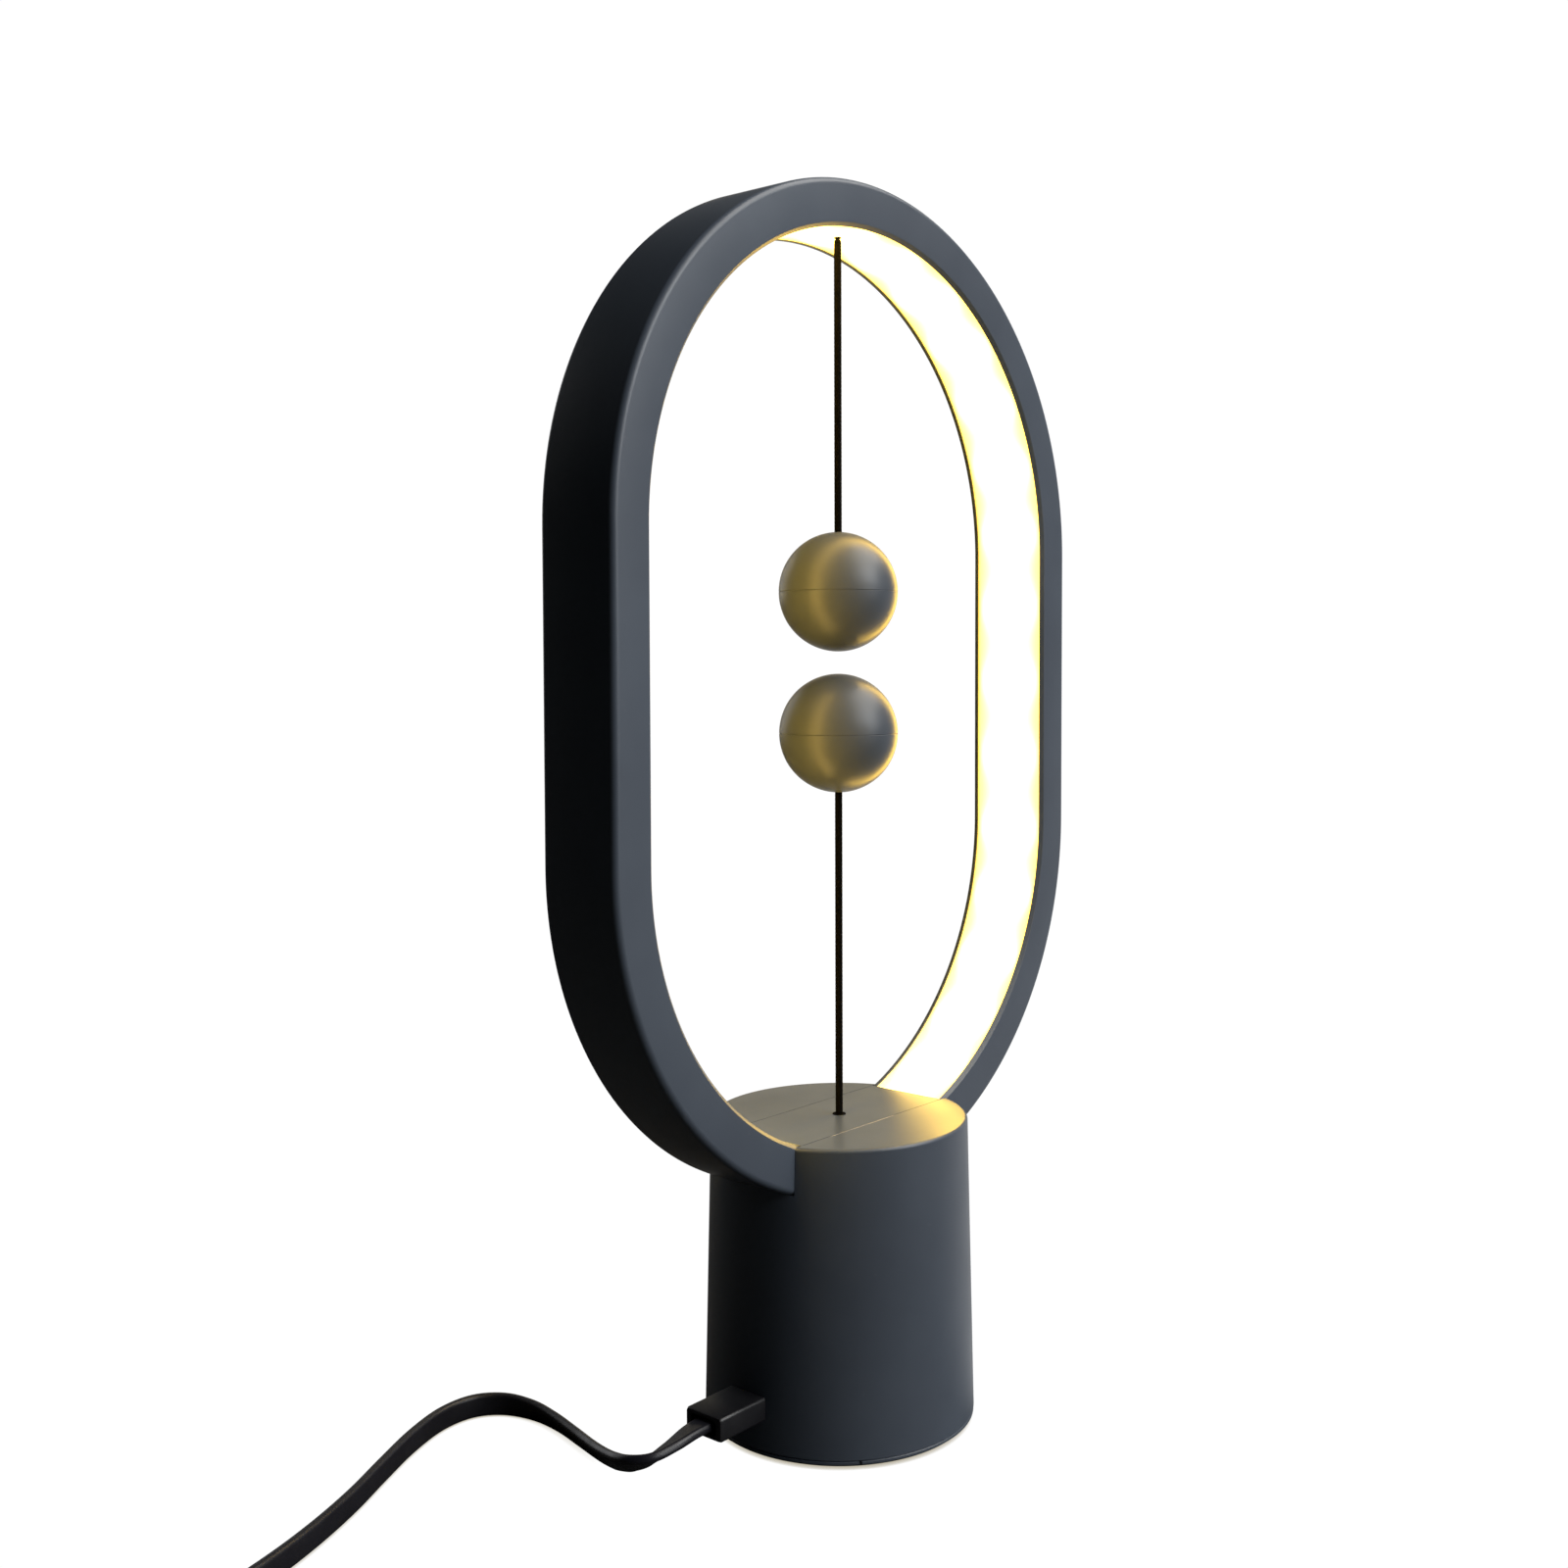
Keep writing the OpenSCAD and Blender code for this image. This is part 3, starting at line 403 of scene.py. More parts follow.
def glow():
    """Lit diffuser: white in the middle, yellow along both rims and deeper between the light chips."""
    m = Mat("diffuser_lit")
    y, s, _ = m.split(m.uv())
    off = m.minus(m.math("FRACT", m.plus(m.math("DIVIDE", s, CHIP_PITCH), 0.5)), 0.5)
    off = m.times(m.absolute(off), 2)
    depth = m.plus(m.span(off, 0.1, 1.0, 0.9, 3.1, True), m.times(m.noise(35, 2), 0.5))
    near = m.minus(STRIP_HALF, m.absolute(m.plus(y, 0.3)))
    t = m.span(near, 0, m.times(depth, 2.2), 0, 1, True)
    level = m.plus(m.times(t, 0.66), m.span(near, 0.0, 0.7, 0.12, 0.34))
    level = m.times(level, m.span(m.absolute(s), FADE_FROM, FADE_TO, 1.0, 0.7, True))
    warm = m.mix(level, (1.0, 0.62, 0.09), (1.0, 0.63, 0.11))
    n = m.t.nodes.new("ShaderNodeVectorMath")
    n.operation = "SCALE"
    m.put(n.inputs[0], warm)
    m.put(n.inputs["Scale"], level)
    m.set(Base_Color=m.mix(m.noise(60, 3), (0.80, 0.78, 0.72), (0.86, 0.84, 0.78)), Roughness=0.45,
          Emission_Color=n.outputs[0], Emission_Strength=GLOW,
          Normal=m.bump(m.noise(1400, 2), 0.00002, 0.4))
    return m.mat


def braid_mat():
    """Braided cord: near-black yarns with a few brown flecks of their own, kept to the yarns' crests so that
    the crevices between them stay dark as painted shade.
    """
    m = Mat("braided_yarn")
    yarn_crest = m.attr("edge")
    fleck = m.span(m.noise(1900, 3, 0.7), 0.45, 0.68)
    # Painted shade: the flecks are weighted by the square of the yarn's height, so the crevices between yarns
    # keep the darker colour.
    yarn = m.mix(m.times(fleck, m.math("POWER", yarn_crest, 2)), (0.0012, 0.0011, 0.001), (0.008, 0.006, 0.004))
    m.set(Base_Color=yarn, IOR=1.12, Roughness=m.span(m.noise(900), 0.3, 0.7, 0.65, 0.9),
          Normal=m.bump(m.noise(7000, 2), 0.00003, 0.8))
    return m.mat


def jacket(name, tone, rough, grain=2200, scuffs=0.08, **more):
    """Black moulded PVC or rubber: satin, faint flow marks and rubbed patches."""
    m = Mat(name)
    flow = m.noise(70, 3, 0.6)
    scuff = m.span(m.noise(260, 5, 0.7), 0.60, 0.74)
    base = m.mix(flow, tuple(c * 0.8 for c in tone), tuple(c * 1.25 for c in tone))
    base = m.mix(m.times(scuff, scuffs), base, (0.07, 0.07, 0.075))
    m.set(Base_Color=base, Roughness=m.span(m.noise(120, 4), 0.3, 0.7, rough - 0.06, rough + 0.08),
          Normal=m.bump(m.noise(grain, 3), 0.00003, 0.5), **more)
    return m.mat


def metal(name, tone, rough):
    """Plated or bare metal, drawn along Y."""
    m = Mat(name)
    lines = m.noise(1.0, 3, 0.6, vec=m.stretch(900, 60, 900))
    wear_and_highlight_breakup = m.noise(140, 4, 0.6)
    base = m.mix(m.times(wear_and_highlight_breakup, 0.5), tone, tuple(c * 0.72 for c in tone))
    m.set(Base_Color=base, Metallic=1.0, Roughness=m.span(lines, 0.3, 0.7, rough, rough + 0.16),
          Normal=m.bump(lines, 0.00001, 0.2))
    return m.mat


def foam_mat():
    """Foam rubber with small open cells."""
    m = Mat("foam_rubber")
    cell = m.cells(1500)
    m.set(Base_Color=m.mix(cell, (0.030, 0.030, 0.031), (0.055, 0.055, 0.056)), Roughness=0.9,
          Normal=m.bump(cell, 0.0001, 0.8))
    return m.mat


def hook_and_loop():
    """Strap covered in small dark loops."""
    m = Mat("hook_and_loop")
    rows = m.noise(1.0, 2, 0.6, vec=m.stretch(1800, 1800, 900))
    m.set(Base_Color=m.mix(rows, (0.008, 0.008, 0.009), (0.032, 0.032, 0.034)), Roughness=0.88,
          Sheen_Weight=0.2, Normal=m.bump(rows, 0.00015, 0.8))
    return m.mat


def white_plastic_mat():
    """White moulded nylon."""
    m = Mat("white_nylon")
    m.set(Base_Color=m.mix(m.noise(90, 4, 0.6), (0.72, 0.71, 0.67), (0.82, 0.81, 0.78)),
          Roughness=m.span(m.noise(200, 3), 0.3, 0.7, 0.38, 0.55),
          Normal=m.bump(m.noise(2500, 2), 0.00002, 0.5))
    return m.mat


def board_mat():
    """Solder mask with copper tracks under it."""
    m = Mat("board_mask")
    x, y, _ = m.split()
    ways = m.math("PINGPONG", m.plus(m.times(x, 500), m.noise(60, 0)), 1)
    cross = m.math("PINGPONG", m.plus(m.times(y, 420), m.noise(50, 0)), 1)
    cross = m.times(m.span(cross, 0.86, 0.9), m.span(m.noise(90, 0), 0.5, 0.52))
    track = m.math("MAXIMUM", m.span(ways, 0.80, 0.86), cross)
    m.set(Base_Color=m.mix(track, (0.012, 0.085, 0.035), (0.035, 0.19, 0.08)), Roughness=0.32,
          Normal=m.bump(track, 0.00003, 0.6))
    return m.mat


def tape_mat():
    """Flexible light tape: white lacquer, copper along both edges."""
    m = Mat("light_tape")
    _, y, _ = m.split()
    pad = m.span(m.absolute(y), 0.0034, 0.0036)
    lacquer = m.mix(m.noise(300), (0.75, 0.74, 0.70), (0.83, 0.82, 0.78))
    m.set(Base_Color=m.mix(m.times(pad, 0.7), lacquer, (0.72, 0.45, 0.22)), Roughness=0.4,
          Normal=m.bump(m.noise(1200, 2), 0.00002, 0.4))
    return m.mat


def chip_mat():
    """Light chips: yellow phosphor in a white case."""
    m = Mat("light_chip")
    _, y, _ = m.split()
    phosphor = m.span(m.absolute(y), 0.0013, 0.0011)
    m.set(Base_Color=m.mix(phosphor, (0.80, 0.79, 0.75), (0.85, 0.62, 0.12)), Roughness=0.35,
          Emission_Color=m.mix(phosphor, (0.10, 0.08, 0.04), (1.0, 0.72, 0.28)), Emission_Strength=4.0,
          Normal=m.bump(m.noise(1500, 2), 0.00002, 0.4))
    return m.mat


def parts_mat():
    """Board components: dark package, tin can, white connectors, told apart by where they stand."""
    m = Mat("board_components")
    x, y, _ = m.split()
    white = m.times(m.span(x, -0.0151, -0.0149), m.span(y, 0.0, 0.001))
    tin = m.times(m.span(y, -0.0068, -0.0070), m.span(x, -0.0225, -0.0227))
    base = m.mix(m.noise(900, 2), (0.014, 0.014, 0.015), (0.028, 0.028, 0.030))
    base = m.mix(white, base, (0.80, 0.79, 0.74))
    base = m.mix(tin, base, (0.55, 0.55, 0.57))
    m.set(Base_Color=base, Metallic=m.times(tin, 0.9), Roughness=m.span(m.noise(500), 0.3, 0.7, 0.35, 0.5),
          Normal=m.bump(m.noise(2600, 2), 0.00002, 0.5))
    return m.mat


def wire_mat():
    """Insulated wires, red and black, told apart by height and side along their run."""
    m = Mat("wire_insulation")
    _, y, z = m.split()
    lean = m.times(m.minus(0.060, z), 0.08)
    red = m.span(m.minus(y, lean), -0.0001, 0.0001)
    m.set(Base_Color=m.mix(red, (0.015, 0.015, 0.016), (0.42, 0.020, 0.015)),
          Roughness=m.span(m.noise(300), 0.3, 0.7, 0.35, 0.5), Normal=m.bump(m.noise(2000, 2), 0.00003, 0.5))
    return m.mat


diffuser_mat = glow()
braid = braid_mat()
lead_mat = jacket("lead_jacket_pvc", (0.008, 0.008, 0.012), 0.40)
plug_mat = jacket("plug_moulding", (0.006, 0.006, 0.008), 0.42, 3000)
bushing_mat = jacket("bushing_plastic", (0.002, 0.002, 0.002), 0.75, scuffs=0.0, IOR=1.12)
black_plastic = jacket("switch_plastic", (0.020, 0.020, 0.022), 0.45, 3000)
nickel = metal("nickel_plate", (0.66, 0.64, 0.60), 0.20)
steel = metal("zinc_steel", (0.50, 0.51, 0.53), 0.30)
brass = metal("contact_brass", (0.80, 0.58, 0.26), 0.22)
foam = foam_mat()
strap_mat = hook_and_loop()
white_plastic = white_plastic_mat()

SLOTS = {
    "soft_touch": paint, "diffuser_white": diffuser_mat, "led_tape": tape_mat(), "led_chip": chip_mat(),
    "white_plastic": white_plastic, "braided_cord": braid, "nickel": nickel, "steel": steel,
    "switch_black": black_plastic, "board": board_mat(), "board_parts": parts_mat(), "wire": wire_mat(),
    "lead_jacket": lead_mat, "foam": foam, "bushing_black": bushing_mat,
}
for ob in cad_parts.values():
    for s in ob.material_slots:
        s.material = SLOTS[s.material.name.split(".")[0]]
for name in ("upper_ball_top", "upper_ball_bottom", "lower_ball_top", "lower_ball_bottom"):
    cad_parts[name].material_slots[0].material = ball_paint
for name in ("base_shell", "top_deck"):
    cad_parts[name].material_slots[0].material = highlighted_base_paint


def piece(ob, mat, body, slot, *nodes):
    """Dresses a new piece, hangs it on its body and lets it stand for CAD nodes."""
    ob.data.materials.append(mat)
    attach(ob, body)
    if nodes:
        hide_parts(*nodes)
    return ob


# ---- Supply lead: stretch, coil and tail ----

# The routes are (x, y, z, degrees that the flat section is turned about the line).
lead_route = [
    (-55.9, 0, 15, 0), (-62, 0, 14.7, 8), (-69, 0.2, 13.3, 22), (-75.5, 1.6, 11.8, 34), (-78.3, 6, 10.6, 42),
    (-77.2, 12, 8.8, 48), (-74.2, 19, 6.6, 53), (-70.6, 28, 4.7, 57), (-67, 39, 3.7, 60),
    (-64.2, 51, 3.5, 63), (-63.4, 62, 3.5, 72), (-66, 72, 3.5, 84), (-73, 78, 3.5, 90), (-84, 78.2, 3.5, 90),
    (-98, 73, 3.6, 90), (-113, 65.2, 3.6, 90), (-128, 57, 3.6, 90), (-143, 50, 3.7, 90),
    (-158, 44.5, 3.7, 90), (-174, 40, 3.8, 90), (-190, 37, 3.9, 90), (-201, 36, 3.9, 90),
    (-205.5, 36, 3.9, 90)]
tail_route = [
    (-205.5, -40.8, 10.9, 90), (-203.5, -40.8, 10.9, 90), (-197, -40.8, 10.0, 80), (-190, -40.8, 7.6, 50),
    (-184, -40.8, 5.2, 22), (-179, -40.8, 4.1, 4), (-175, -40.8, 4, 0)]

LEAD_W, LEAD_T, LEAD_ROUND = 6.5, 2.6, 1.05
COIL_X, COIL_Y = -212, -2.4
COIL_RADIUS = 38.4  # at its start and its end
COIL_PITCH = 4.2  # how much each turn of the lower layer comes in, and of the upper one goes out again
COIL_LOW, COIL_LIFT = 3.9, 7  # height of the lower layer's middle, and how far the upper one lies over it
COIL_FIRST, COIL_TURN, COIL_STEPS = 90, 1620, 432  # degrees at the start, degrees round, steps
coil_middle = COIL_FIRST + COIL_TURN / 2

coil = []
for i in range(COIL_STEPS + 1):
    a = COIL_FIRST + COIL_TURN * i / COIL_STEPS
    r = COIL_RADIUS - COIL_PITCH * (min(a, 2 * coil_middle - a) - COIL_FIRST) / 360
    q = math.radians(a)
    lift = max(0, min(1, (a - coil_middle) / 90 + 0.5))
    coil.append((COIL_X + r * math.cos(q), COIL_Y + r * math.sin(q), COIL_LOW + COIL_LIFT * lift, 90))
lead_line = np.vstack([smooth_line(lead_route, 6), coil[2:-2], smooth_line(tail_route, 6)])
lead_section = box_section(LEAD_W, LEAD_T, LEAD_ROUND, 5)
lead = sweep("supply_lead_jacket", lead_line[:, :3], lead_line[:, 3], lead_section, 50)
piece(lead, lead_mat, "supply_lead", "lead_jacket", "lead_stretch", "lead_coil", "lead_tail")

# ---- Small plug ----

PLUG_W, PLUG_H, PLUG_Z = 13.1, 6.7, 15
# (x, how much smaller all round, corner radius), then (x, width, height, corner radius).
outside = ((-39.3, 0.5, 0.5), (-39.8, 0, 0.9), (-48, 0, 0.9), (-56.6, 0, 0.9), (-57.2, 0.25, 0.9),
           (-57.4, 0.8, 0.7))
recess = ((-57.4, 9.6, 4.6, 0.9), (-57.2, 9.1, 4.1, 0.8), (-55.2, 8.9, 3.9, 0.8))
stations = [(x, box_section(PLUG_W - 2 * q, PLUG_H - 2 * q, r)) for x, q, r in outside]
stations += [(x, box_section(w, h, r)) for x, w, h, r in recess]
piece(along_x("lamp_plug_shell", stations, 0, PLUG_Z), plug_mat, "supply_lead", "lead_jacket",
      "lamp_plug_housing")

# ---- Large plug ----

USB_Y, USB_Z = -40.8, 4
GRIP_W, GRIP_H = 15.5, 8
RIB_PITCH = 2.2
SHELL_W, SHELL_H, SHELL_WALL = 12, 4.5, 0.3
WINDOW_HALF = 1.15  # half a latch window's width

# (x, how much smaller all round)
grip = [(-176, 1.0), (-175.6, 0.3), (-174.6, 0), (-173.4, 0)]
for k in range(6):
    at = RIB_PITCH * k
    grip += [(-171.2 + at, 0), (-170.9 + at, 0.35), (-170.1 + at, 0.35), (-169.8 + at, 0)]
grip += [(-153, 0), (-151.6, 0.2), (-151, 0.7)]
stations = [(x, box_section(GRIP_W - 2 * q, GRIP_H - 2 * q, 1.8 - q * 0.6)) for x, q in grip]
usb_house = along_x("usb_a_grip", stations, USB_Y, USB_Z)
piece(usb_house, plug_mat, "supply_lead", "lead_jacket", "usb_a_housing")


def usb_tube():
    """Folded shell of the large plug: open mouth with rounded lips and two latch windows above and below."""
    outer = [(-153, 0), (-132.5, 0), (-132.25, 0.08), (-132.2, 0.15)]
    inner = [(-132.25, 0.24), (-132.5, SHELL_WALL), (-152.6, SHELL_WALL)]
    sections = [(x, box_section(SHELL_W - 2 * q, SHELL_H - 2 * q, 0.5 - q)) for x, q in outer + inner]
    ob = along_x("usb_a_folded_shell", sections, USB_Y, USB_Z)
    box_faces = (0, 1, 3, 2), (4, 6, 7, 5), (0, 4, 5, 1), (2, 3, 7, 6), (0, 2, 6, 4), (1, 5, 7, 3)
    verts, faces = [], []
    for y in (-43.6, -38.0):
        a = len(verts)
        for x in (-146.8, -144.4):
            verts += [(x, y + j, z) for j in (-WINDOW_HALF, WINDOW_HALF) for z in (0.5, 7.5)]
        faces += [tuple(a + q for q in f) for f in box_faces]
    return carved(ob, link_mesh("window_cutter", verts, faces))


usb_shell = piece(usb_tube(), nickel, "supply_lead", "nickel", "usb_a_shell")
tongue = along_x("usb_a_contact_block", [(-152.6, box_section(11.2, 1.8, 0.2)),
                                         (-134.1, box_section(11.2, 1.8, 0.2)),
                                         (-133.8, box_section(10.8, 1.4, 0.2))], USB_Y, 3.05)
piece(tongue, white_plastic, "supply_lead", "white_plastic", "usb_a_tongue")
pins = []
for y, front in ((-44.3, -134.6), (-41.8, -135.8), (-39.8, -135.8), (-37.3, -134.6)):
    pins.append(along_x("pin", [(front - 8, box_section(1.0, 0.3, 0.08)),
                                (front - 0.4, box_section(1.0, 0.3, 0.08)),
                                (front, box_section(0.8, 0.1, 0.04))], y, 3.95))
pins = piece(joined(pins, "usb_a_pins"), brass, "supply_lead", None)

# ---- Coil strap ----

STRAP_AZ = math.radians(195)  # where it stands on the coil
BAND_W, FLAP_W, STRAP_T = 9.0, 8.6, 0.56


def strap():
    """Hook-and-loop strap round the coil, with its free end laid over the top. Its lines are (radius, z)."""
    band = rounded([(26.85, 0.3), (40.5, 0.3), (40.5, 14.75), (26.85, 14.75)], 1.2, 6)
    flap = np.array([(27.6, 15.4), (30, 15.42), (33, 15.38), (36, 15.42), (38.6, 15.38), (39.4, 15.28)])
    cos, sin = math.cos(STRAP_AZ), math.sin(STRAP_AZ)
    out = []
    for name, line, closed, wide in (("strap_band", band, True, BAND_W), ("strap_end", flap, False, FLAP_W)):
        tan = np.roll(line, -1, 0) - np.roll(line, 1, 0) if closed else np.gradient(line, axis=0)
        tan /= np.linalg.norm(tan, axis=1)[:, None]
        nor = np.stack([tan[:, 1], -tan[:, 0]], -1)
        rings = []
        for i, p in enumerate(line):
            k = 0.9 if not closed and i in (0, len(line) - 1) else 1.0
            sec = box_section(wide * k, STRAP_T, 0.2, 3)
            r = p[0] + sec[:, 1] * nor[i, 0]
            z = p[1] + sec[:, 1] * nor[i, 1]
            rings.append(np.stack([COIL_X + r * cos - sec[:, 0] * sin,
                                   COIL_Y + r * sin + sec[:, 0] * cos, z], -1))
        out.append(grid(name, rings, closed=closed, angle=50))
    return joined(out, "coil_strap")


tie = piece(strap(), strap_mat, "supply_lead", "foam", "lead_tie")

# ---- Braided cords ----

YARNS = 8  # that run each way round
YARN_RISE = 1.25  # height from one yarn to the next
YARN_RELIEF = 0.13
CORD_R = 1.08
CORD_SIDES, CORD_STEP = 40, 0.2
TIP_R = 0.02  # of the flat middle that closes each end


def braided(name, z0, z1, low_cup, high_cup):
    """Upright braided tube. Its ends are hollowed by a cup where they turn on a round pivot."""
    n = CORD_SIDES
    z = np.linspace(z0, z1, int((z1 - z0) / CORD_STEP) + 1)[:, None]
    a = (np.arange(n) * 2 * math.pi / n)[None, :]
    one = YARNS * a / (2 * math.pi) + z / YARN_RISE
    two = YARNS * a / (2 * math.pi) - z / YARN_RISE
    even = (np.floor(one) + np.floor(two)) % 2 == 0
    lift = np.where(even, np.abs(np.sin(math.pi * one)), np.abs(np.sin(math.pi * two))) ** 0.6
    rad = CORD_R - YARN_RELIEF + YARN_RELIEF * lift
    pts = np.stack([rad * np.cos(a), rad * np.sin(a), np.broadcast_to(z, rad.shape)], -1)
    tip = TIP_R * np.cos(a[0]), TIP_R * np.sin(a[0])
    low_end = np.stack([*tip, np.full(n, z0 + low_cup)], -1)
    high_end = np.stack([*tip, np.full(n, z1 - high_cup)], -1)
    pts = np.concatenate([low_end[None], pts, high_end[None]])
    lift = np.concatenate([lift[:1], lift, lift[-1:]])
    return grid(name, pts, edge=lift, angle=80)


upper = braided("upper_cord_braid", 252.5, 338.57, 0, 0.75)
piece(upper, braid, "upper_pendulum", "braided_cord", "upper_cord")
lower = braided("lower_cord_braid", 88.33, 183.2, 0.75, 0)
piece(lower, braid, "lower_stem", "braided_cord", "lower_cord")

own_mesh(lower)

# ---- Loop: channel frame and diffuser ----

HIGH, LOW = 253.0, 168.0  # heights of the middles of the loop's round ends
INNER, OUTER = 87, 100  # radii of the loop
FLOOR_R = 98.4  # radius of the channel's floor
LOOP_HALF = 13.3  # half the loop's depth
BEVEL = 1.05  # along the front inner edge
END_STEPS = 120  # in each round end
SIDE_STEPS = 13  # in each straight side


def end_ring(points, theta):
    """Section points (r, y) placed at an angle of a round end."""
    r, y = points[:, 0], points[:, 1]
    middle = HIGH if math.sin(theta) >= 0 else LOW
    return np.stack([r * math.cos(theta), y, middle + r * math.sin(theta)], -1)


def end_rings(points, first):
    """Rings round one end, from the angle first on. A nudge keeps both ends of it on its own middle."""
    nudge = {0: 1e-9, END_STEPS: -1e-9}
    return [end_ring(points, first + math.pi * i / END_STEPS + nudge.get(i, 0)) for i in range(END_STEPS + 1)]


def side_rings(points, side, z0, z1):
    """Rings between the ends of a straight side, which is 1 at positive X and -1 at the other."""
    r, y = points[:, 0], points[:, 1]
    heights = np.linspace(z0, z1, SIDE_STEPS + 1)[1:-1]
    return [np.stack([side * r, y, np.full_like(r, z)], -1) for z in heights]


section = rounded([(INNER, BEVEL - LOOP_HALF), (INNER + BEVEL, -LOOP_HALF), (OUTER, -LOOP_HALF),
                   (OUTER, LOOP_HALF), (INNER, LOOP_HALF), (INNER, STRIP_HALF), (FLOOR_R, STRIP_HALF),
                   (FLOOR_R, -STRIP_HALF), (INNER, -STRIP_HALF)],
                  [0.05, 0.3, 1.8, 1.8, 0.35, 0.05, 0.5, 0.5, 0.05], 7)
rings = np.array(end_rings(section, 0) + side_rings(section, -1, HIGH, LOW)
                 + end_rings(section, -math.pi) + side_rings(section, 1, LOW, HIGH))
loop = grid("loop_channel", rings, closed=True, angle=50, v_len=run_length(rings[:, 0]))
piece(loop, paint, "lamp", "soft_touch", "loop_frame")

FACE_R, EDGE_R, BACK_R = 87.25, 87.42, 88.75  # radii of the diffuser's face, its two edges and its back
TAPE_R = 98  # radius that lengths along the light tape are measured at
TOP_STEPS, STRAIGHT_STEPS, LOW_STEPS = 60, 12, 50  # along each side of the diffuser
FACE_STEPS = 24  # across its face
OPENING, OPENING_R = 30, 88.0  # half the gap in the diffuser at the bottom, and where it is measured
FLAT_HALF = 11.95  # half the width of its flat face, inside the two edges


def diffuser_stations():
    """Places along the diffuser: (middle, direction away from it, length along the tape from the top)."""
    quarter = math.pi / 2
    side = HIGH - LOW
    low = quarter - math.asin(OPENING / OPENING_R)
    right = []
    for i in range(TOP_STEPS + 1):
        v = quarter * i / TOP_STEPS
        right.append(((0, HIGH), (math.sin(v), math.cos(v)), TAPE_R * v))
    for i in range(1, STRAIGHT_STEPS + 1):
        v = side * i / STRAIGHT_STEPS
        right.append(((0, HIGH - v), (1, 0), TAPE_R * math.pi / 2 + v))
    for i in range(1, LOW_STEPS + 1):
        v = low * i / LOW_STEPS
        right.append(((0, LOW), (math.cos(v), -math.sin(v)), TAPE_R * math.pi / 2 + side + TAPE_R * v))
    left = [(c, (-d[0], d[1]), -s) for c, d, s in right]
    return left[::-1] + right[1:]


def diffuser_mesh():
    """Strip between the rims, open at the bottom of the loop. UV is (y, length along the light tape)."""
    stations = diffuser_stations()
    ys = np.concatenate([[-STRIP_HALF], np.linspace(-FLAT_HALF, FLAT_HALF, FACE_STEPS + 1), [STRIP_HALF]])
    face_r = np.concatenate([[EDGE_R], np.full(FACE_STEPS + 1, FACE_R), [EDGE_R]])
    m, n = len(stations), len(ys)
    verts, faces, uvs = [], [], []
    for c, d, s in stations:
        verts += [(c[0] + d[0] * r, y, c[1] + d[1] * r) for y, r in zip(ys, face_r)]
        verts += [(c[0] + d[0] * BACK_R, y, c[1] + d[1] * BACK_R) for y in ys]
    for i in range(m - 1):
        s0, s1 = stations[i][2], stations[i + 1][2]
        a, b = i * 2 * n, (i + 1) * 2 * n
        for k in range(n - 1):
            q = [(ys[k], s0), (ys[k + 1], s0), (ys[k + 1], s1), (ys[k], s1)]
            faces.append((a + k, a + k + 1, b + k + 1, b + k))
            uvs += q
            faces.append((b + n + k, b + n + k + 1, a + n + k + 1, a + n + k))
            uvs += [q[3], q[2], q[1], q[0]]
        for k, y in ((0, ys[0]), (n - 1, ys[-1])):
            faces.append((a + k, b + k, b + n + k, a + n + k))
            uvs += [(y, s0), (y, s1), (y, s1), (y, s0)]
    for i, s in ((0, stations[0][2]), (m - 1, stations[-1][2])):
        a = i * 2 * n
        faces.append(tuple([a + k for k in range(n)] + [a + n + k for k in reversed(range(n))]))
        uvs += [(y, s) for y in ys] + [(y, s) for y in reversed(ys)]
    return link_mesh("diffuser_strip", verts, faces, uvs, 30)


hole = lathe("hole_cutter", [(1.1, 330), (1.1, 350)], 48)
piece(carved(diffuser_mesh(), hole), diffuser_mat, "lamp", "diffuser_white", "diffuser")

# ---- Base: bushing ----

bushing = lathe("cord_bushing_collar", [(1.3, 64), (1.95, 64), (1.95, 87.55), (1.85, 87.7), (1.45, 87.7),
                                        (1.3, 87.6)], 64, closed=True)
piece(bushing, bushing_mat, "lamp", "bushing_black", "cord_bushing")

# ---- Floor and backdrop ----

BRIGHT_SIDE = math.radians(5)  # azimuth where gloss shows the backdrop best
FLOOR_HALF = 6000  # half the floor's width


def backdrop(m, vec, shown):
    """How much of the white backdrop a ray meets: all of it straight or through glass.

    A glossy ray meets the share shown of it, and only towards the bright side.
    """
    x, y, _ = m.split(vec)
    far = m.math("SQRT", m.plus(m.times(x, x), m.times(y, y)))
    along = m.plus(m.times(x, math.cos(BRIGHT_SIDE)), m.times(y, math.sin(BRIGHT_SIDE)))
    toward = m.math("DIVIDE", along, far)
    path = m.t.nodes.new("ShaderNodeLightPath").outputs
    gloss = m.times(path["Is Glossy Ray"], m.times(m.span(toward, 0.35, 0.92, 0, 1, True), shown))
    return m.math("MAXIMUM", m.math("MAXIMUM", path["Is Camera Ray"], path["Is Transmission Ray"]), gloss)


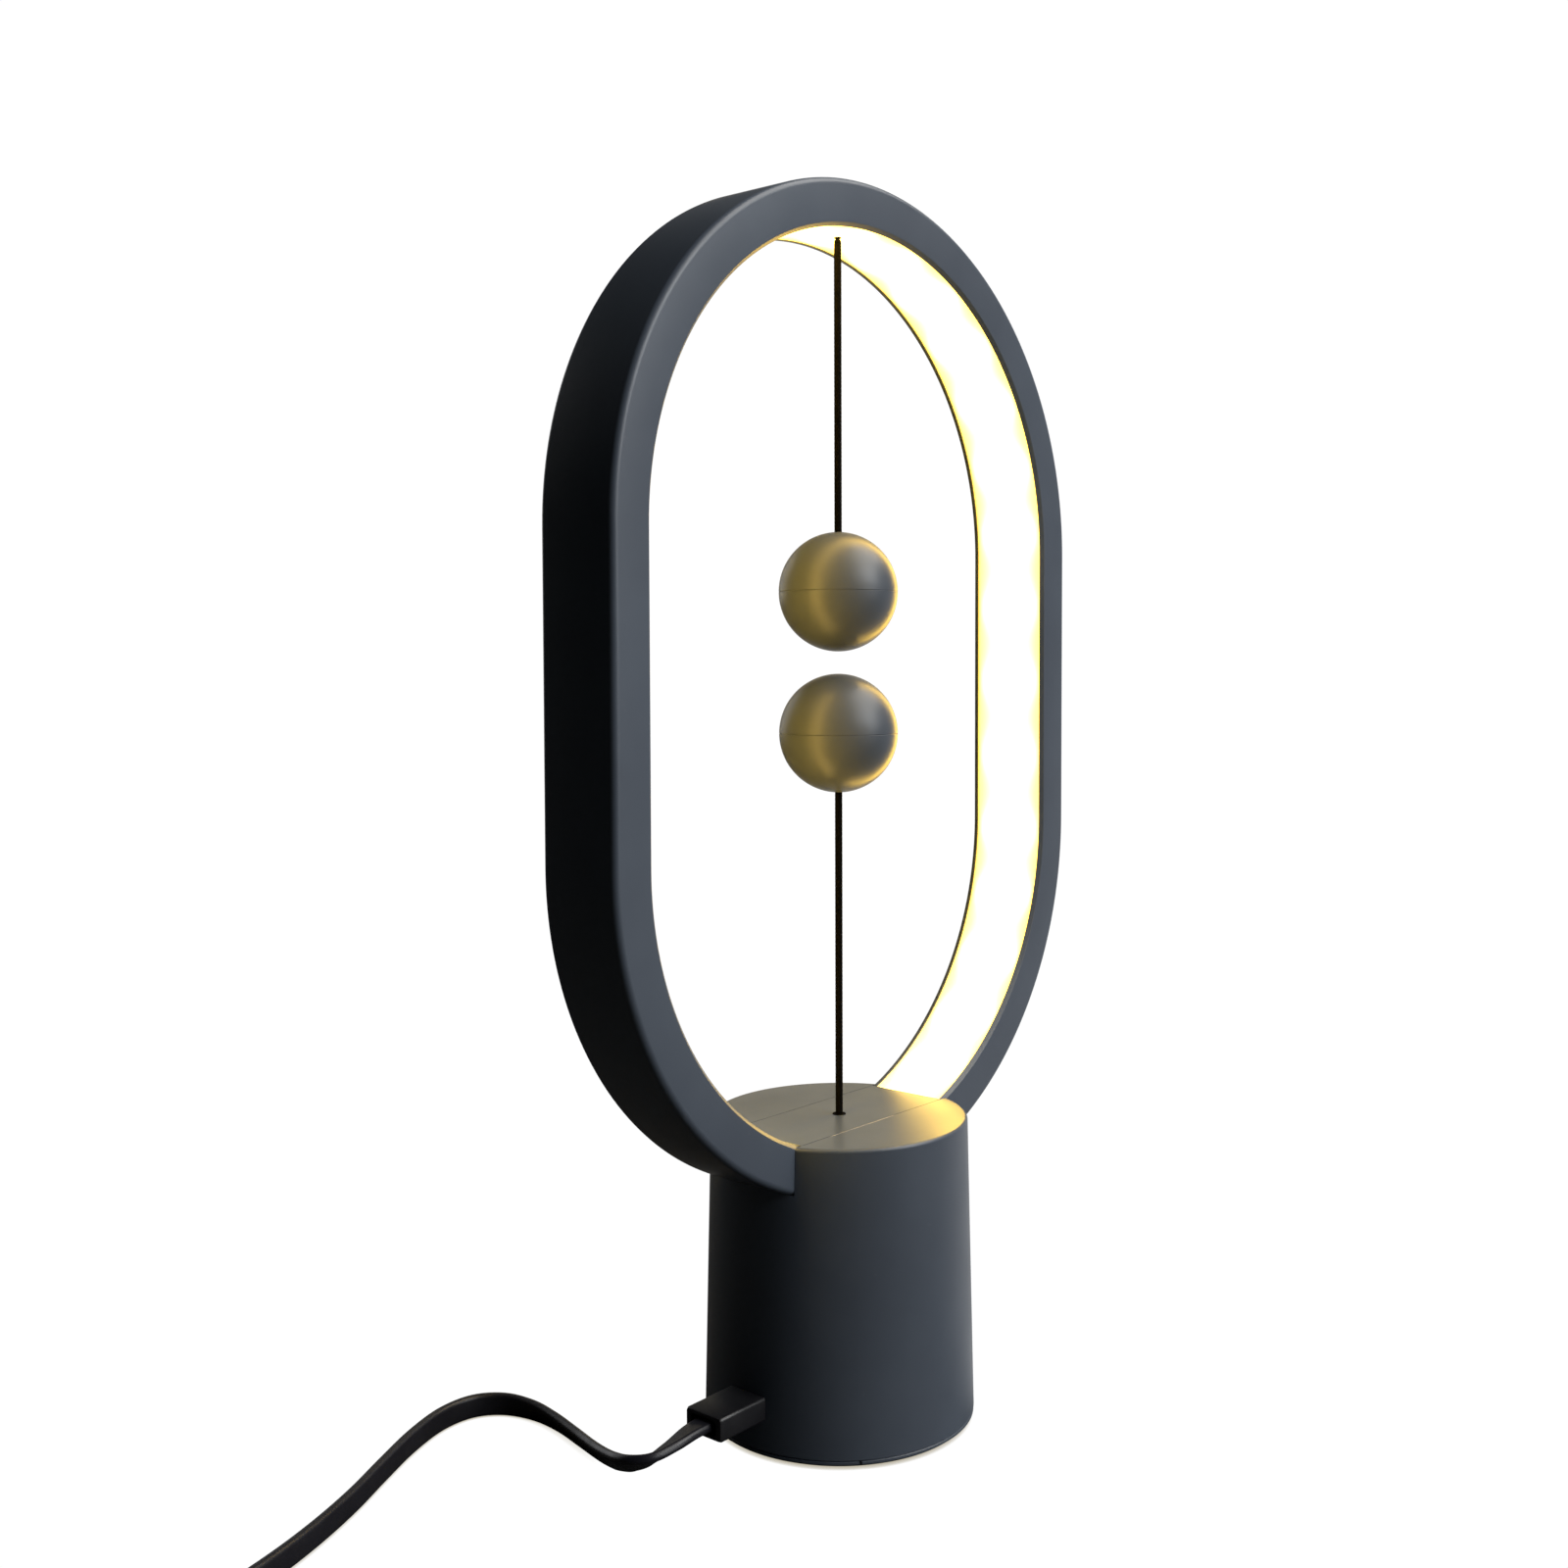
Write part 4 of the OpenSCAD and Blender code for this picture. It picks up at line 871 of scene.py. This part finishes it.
def floor():
    """Pale floor: white to the eye, with a narrow contact shade under the lamp."""
    m = Mat("pale_floor")
    t = m.t
    ao = t.nodes.new("ShaderNodeAmbientOcclusion")
    ao.inputs["Distance"].default_value = 0.004
    ao.samples = 16
    seen = t.nodes.new("ShaderNodeEmission")
    shade = m.span(ao.outputs["AO"], 0.0, 0.5)
    m.put(seen.inputs["Color"], m.mix(shade, (0.42, 0.37, 0.26), (1.02, 1.02, 1.02)))
    mix = t.nodes.new("ShaderNodeMixShader")
    m.set(Base_Color=(0.03, 0.03, 0.03), Roughness=0.8)
    m.put(mix.inputs[0], backdrop(m, m.obj, 0.5))
    t.links.new(m.p.outputs[0], mix.inputs[1])
    t.links.new(seen.outputs[0], mix.inputs[2])
    t.links.new(mix.outputs[0], t.nodes["Material Output"].inputs[0])
    corners = [(FLOOR_HALF * i, FLOOR_HALF * j, 0) for i, j in ((-1, -1), (1, -1), (1, 1), (-1, 1))]
    ob = link_mesh("floor", corners, [(0, 1, 2, 3)])
    ob.data.materials.append(m.mat)


floor()

world = bpy.data.worlds.new("studio")
scene.world = world
w = WorldTree(world)
dim = w.t.nodes["Background"]
dim.inputs[0].default_value = (0.80, 0.90, 1.0, 1)
dim.inputs[1].default_value = 0.004
white = w.t.nodes.new("ShaderNodeBackground")
white.inputs[0].default_value = (1, 1, 1, 1)
white.inputs[1].default_value = 1.02
mix = w.t.nodes.new("ShaderNodeMixShader")
w.put(mix.inputs[0], backdrop(w, w.obj, 0.14))
w.t.links.new(dim.outputs[0], mix.inputs[1])
w.t.links.new(white.outputs[0], mix.inputs[2])
w.t.links.new(mix.outputs[0], w.t.nodes["World Output"].inputs[0])

# ---- Lights ----

AIM = np.array((0, 0, 0.18))  # the middle of the lamp, in metres


def area(name, az, el, dist, size, power, colour, tall=None):
    """Light that looks at AIM from an azimuth and an elevation: size metres square, or size by tall."""
    data = bpy.data.lights.new(name, "AREA")
    data.energy = power
    data.color = colour
    data.shape = "RECTANGLE" if tall else "SQUARE"
    data.size = size
    if tall:
        data.size_y = tall
    ob = bpy.data.objects.new(name, data)
    scene.collection.objects.link(ob)
    a, e = math.radians(az), math.radians(el)
    d = np.array([math.cos(e) * math.cos(a), math.cos(e) * math.sin(a), math.sin(e)])
    side = np.cross([0, 0, 1], d)
    side /= np.linalg.norm(side)
    up = np.cross(d, side)
    at = AIM + d * dist
    ob.matrix_world = Matrix(((side[0], up[0], d[0], at[0]), (side[1], up[1], d[1], at[1]),
                              (side[2], up[2], d[2], at[2]), (0, 0, 0, 1)))


area("key", -43, 53, 3.0, 2.9, 79, (1.0, 0.97, 0.93), tall=2.0)
area("side_box", -68, 25, 3.0, 1.2, 26, (0.95, 0.98, 1.0))
area("low_box", -74, 6, 3.0, 1.1, 10, (0.98, 0.99, 1.0))
area("top_box", -88, 30, 1.5, 0.6, 5.5, (0.98, 0.99, 1.0))
area("right_wall", 6, 8, 3.0, 2.4, 4, (0.96, 0.98, 1.0), tall=1.5)
area("back_wall", 42, 11, 3.0, 1.4, 4, (1.0, 0.88, 0.64))
area("rear_fill", 84, 14, 3.0, 1.8, 11, (0.97, 0.98, 1.0))

scene.view_settings.view_transform = "Standard"
bpy.context.view_layer.update()
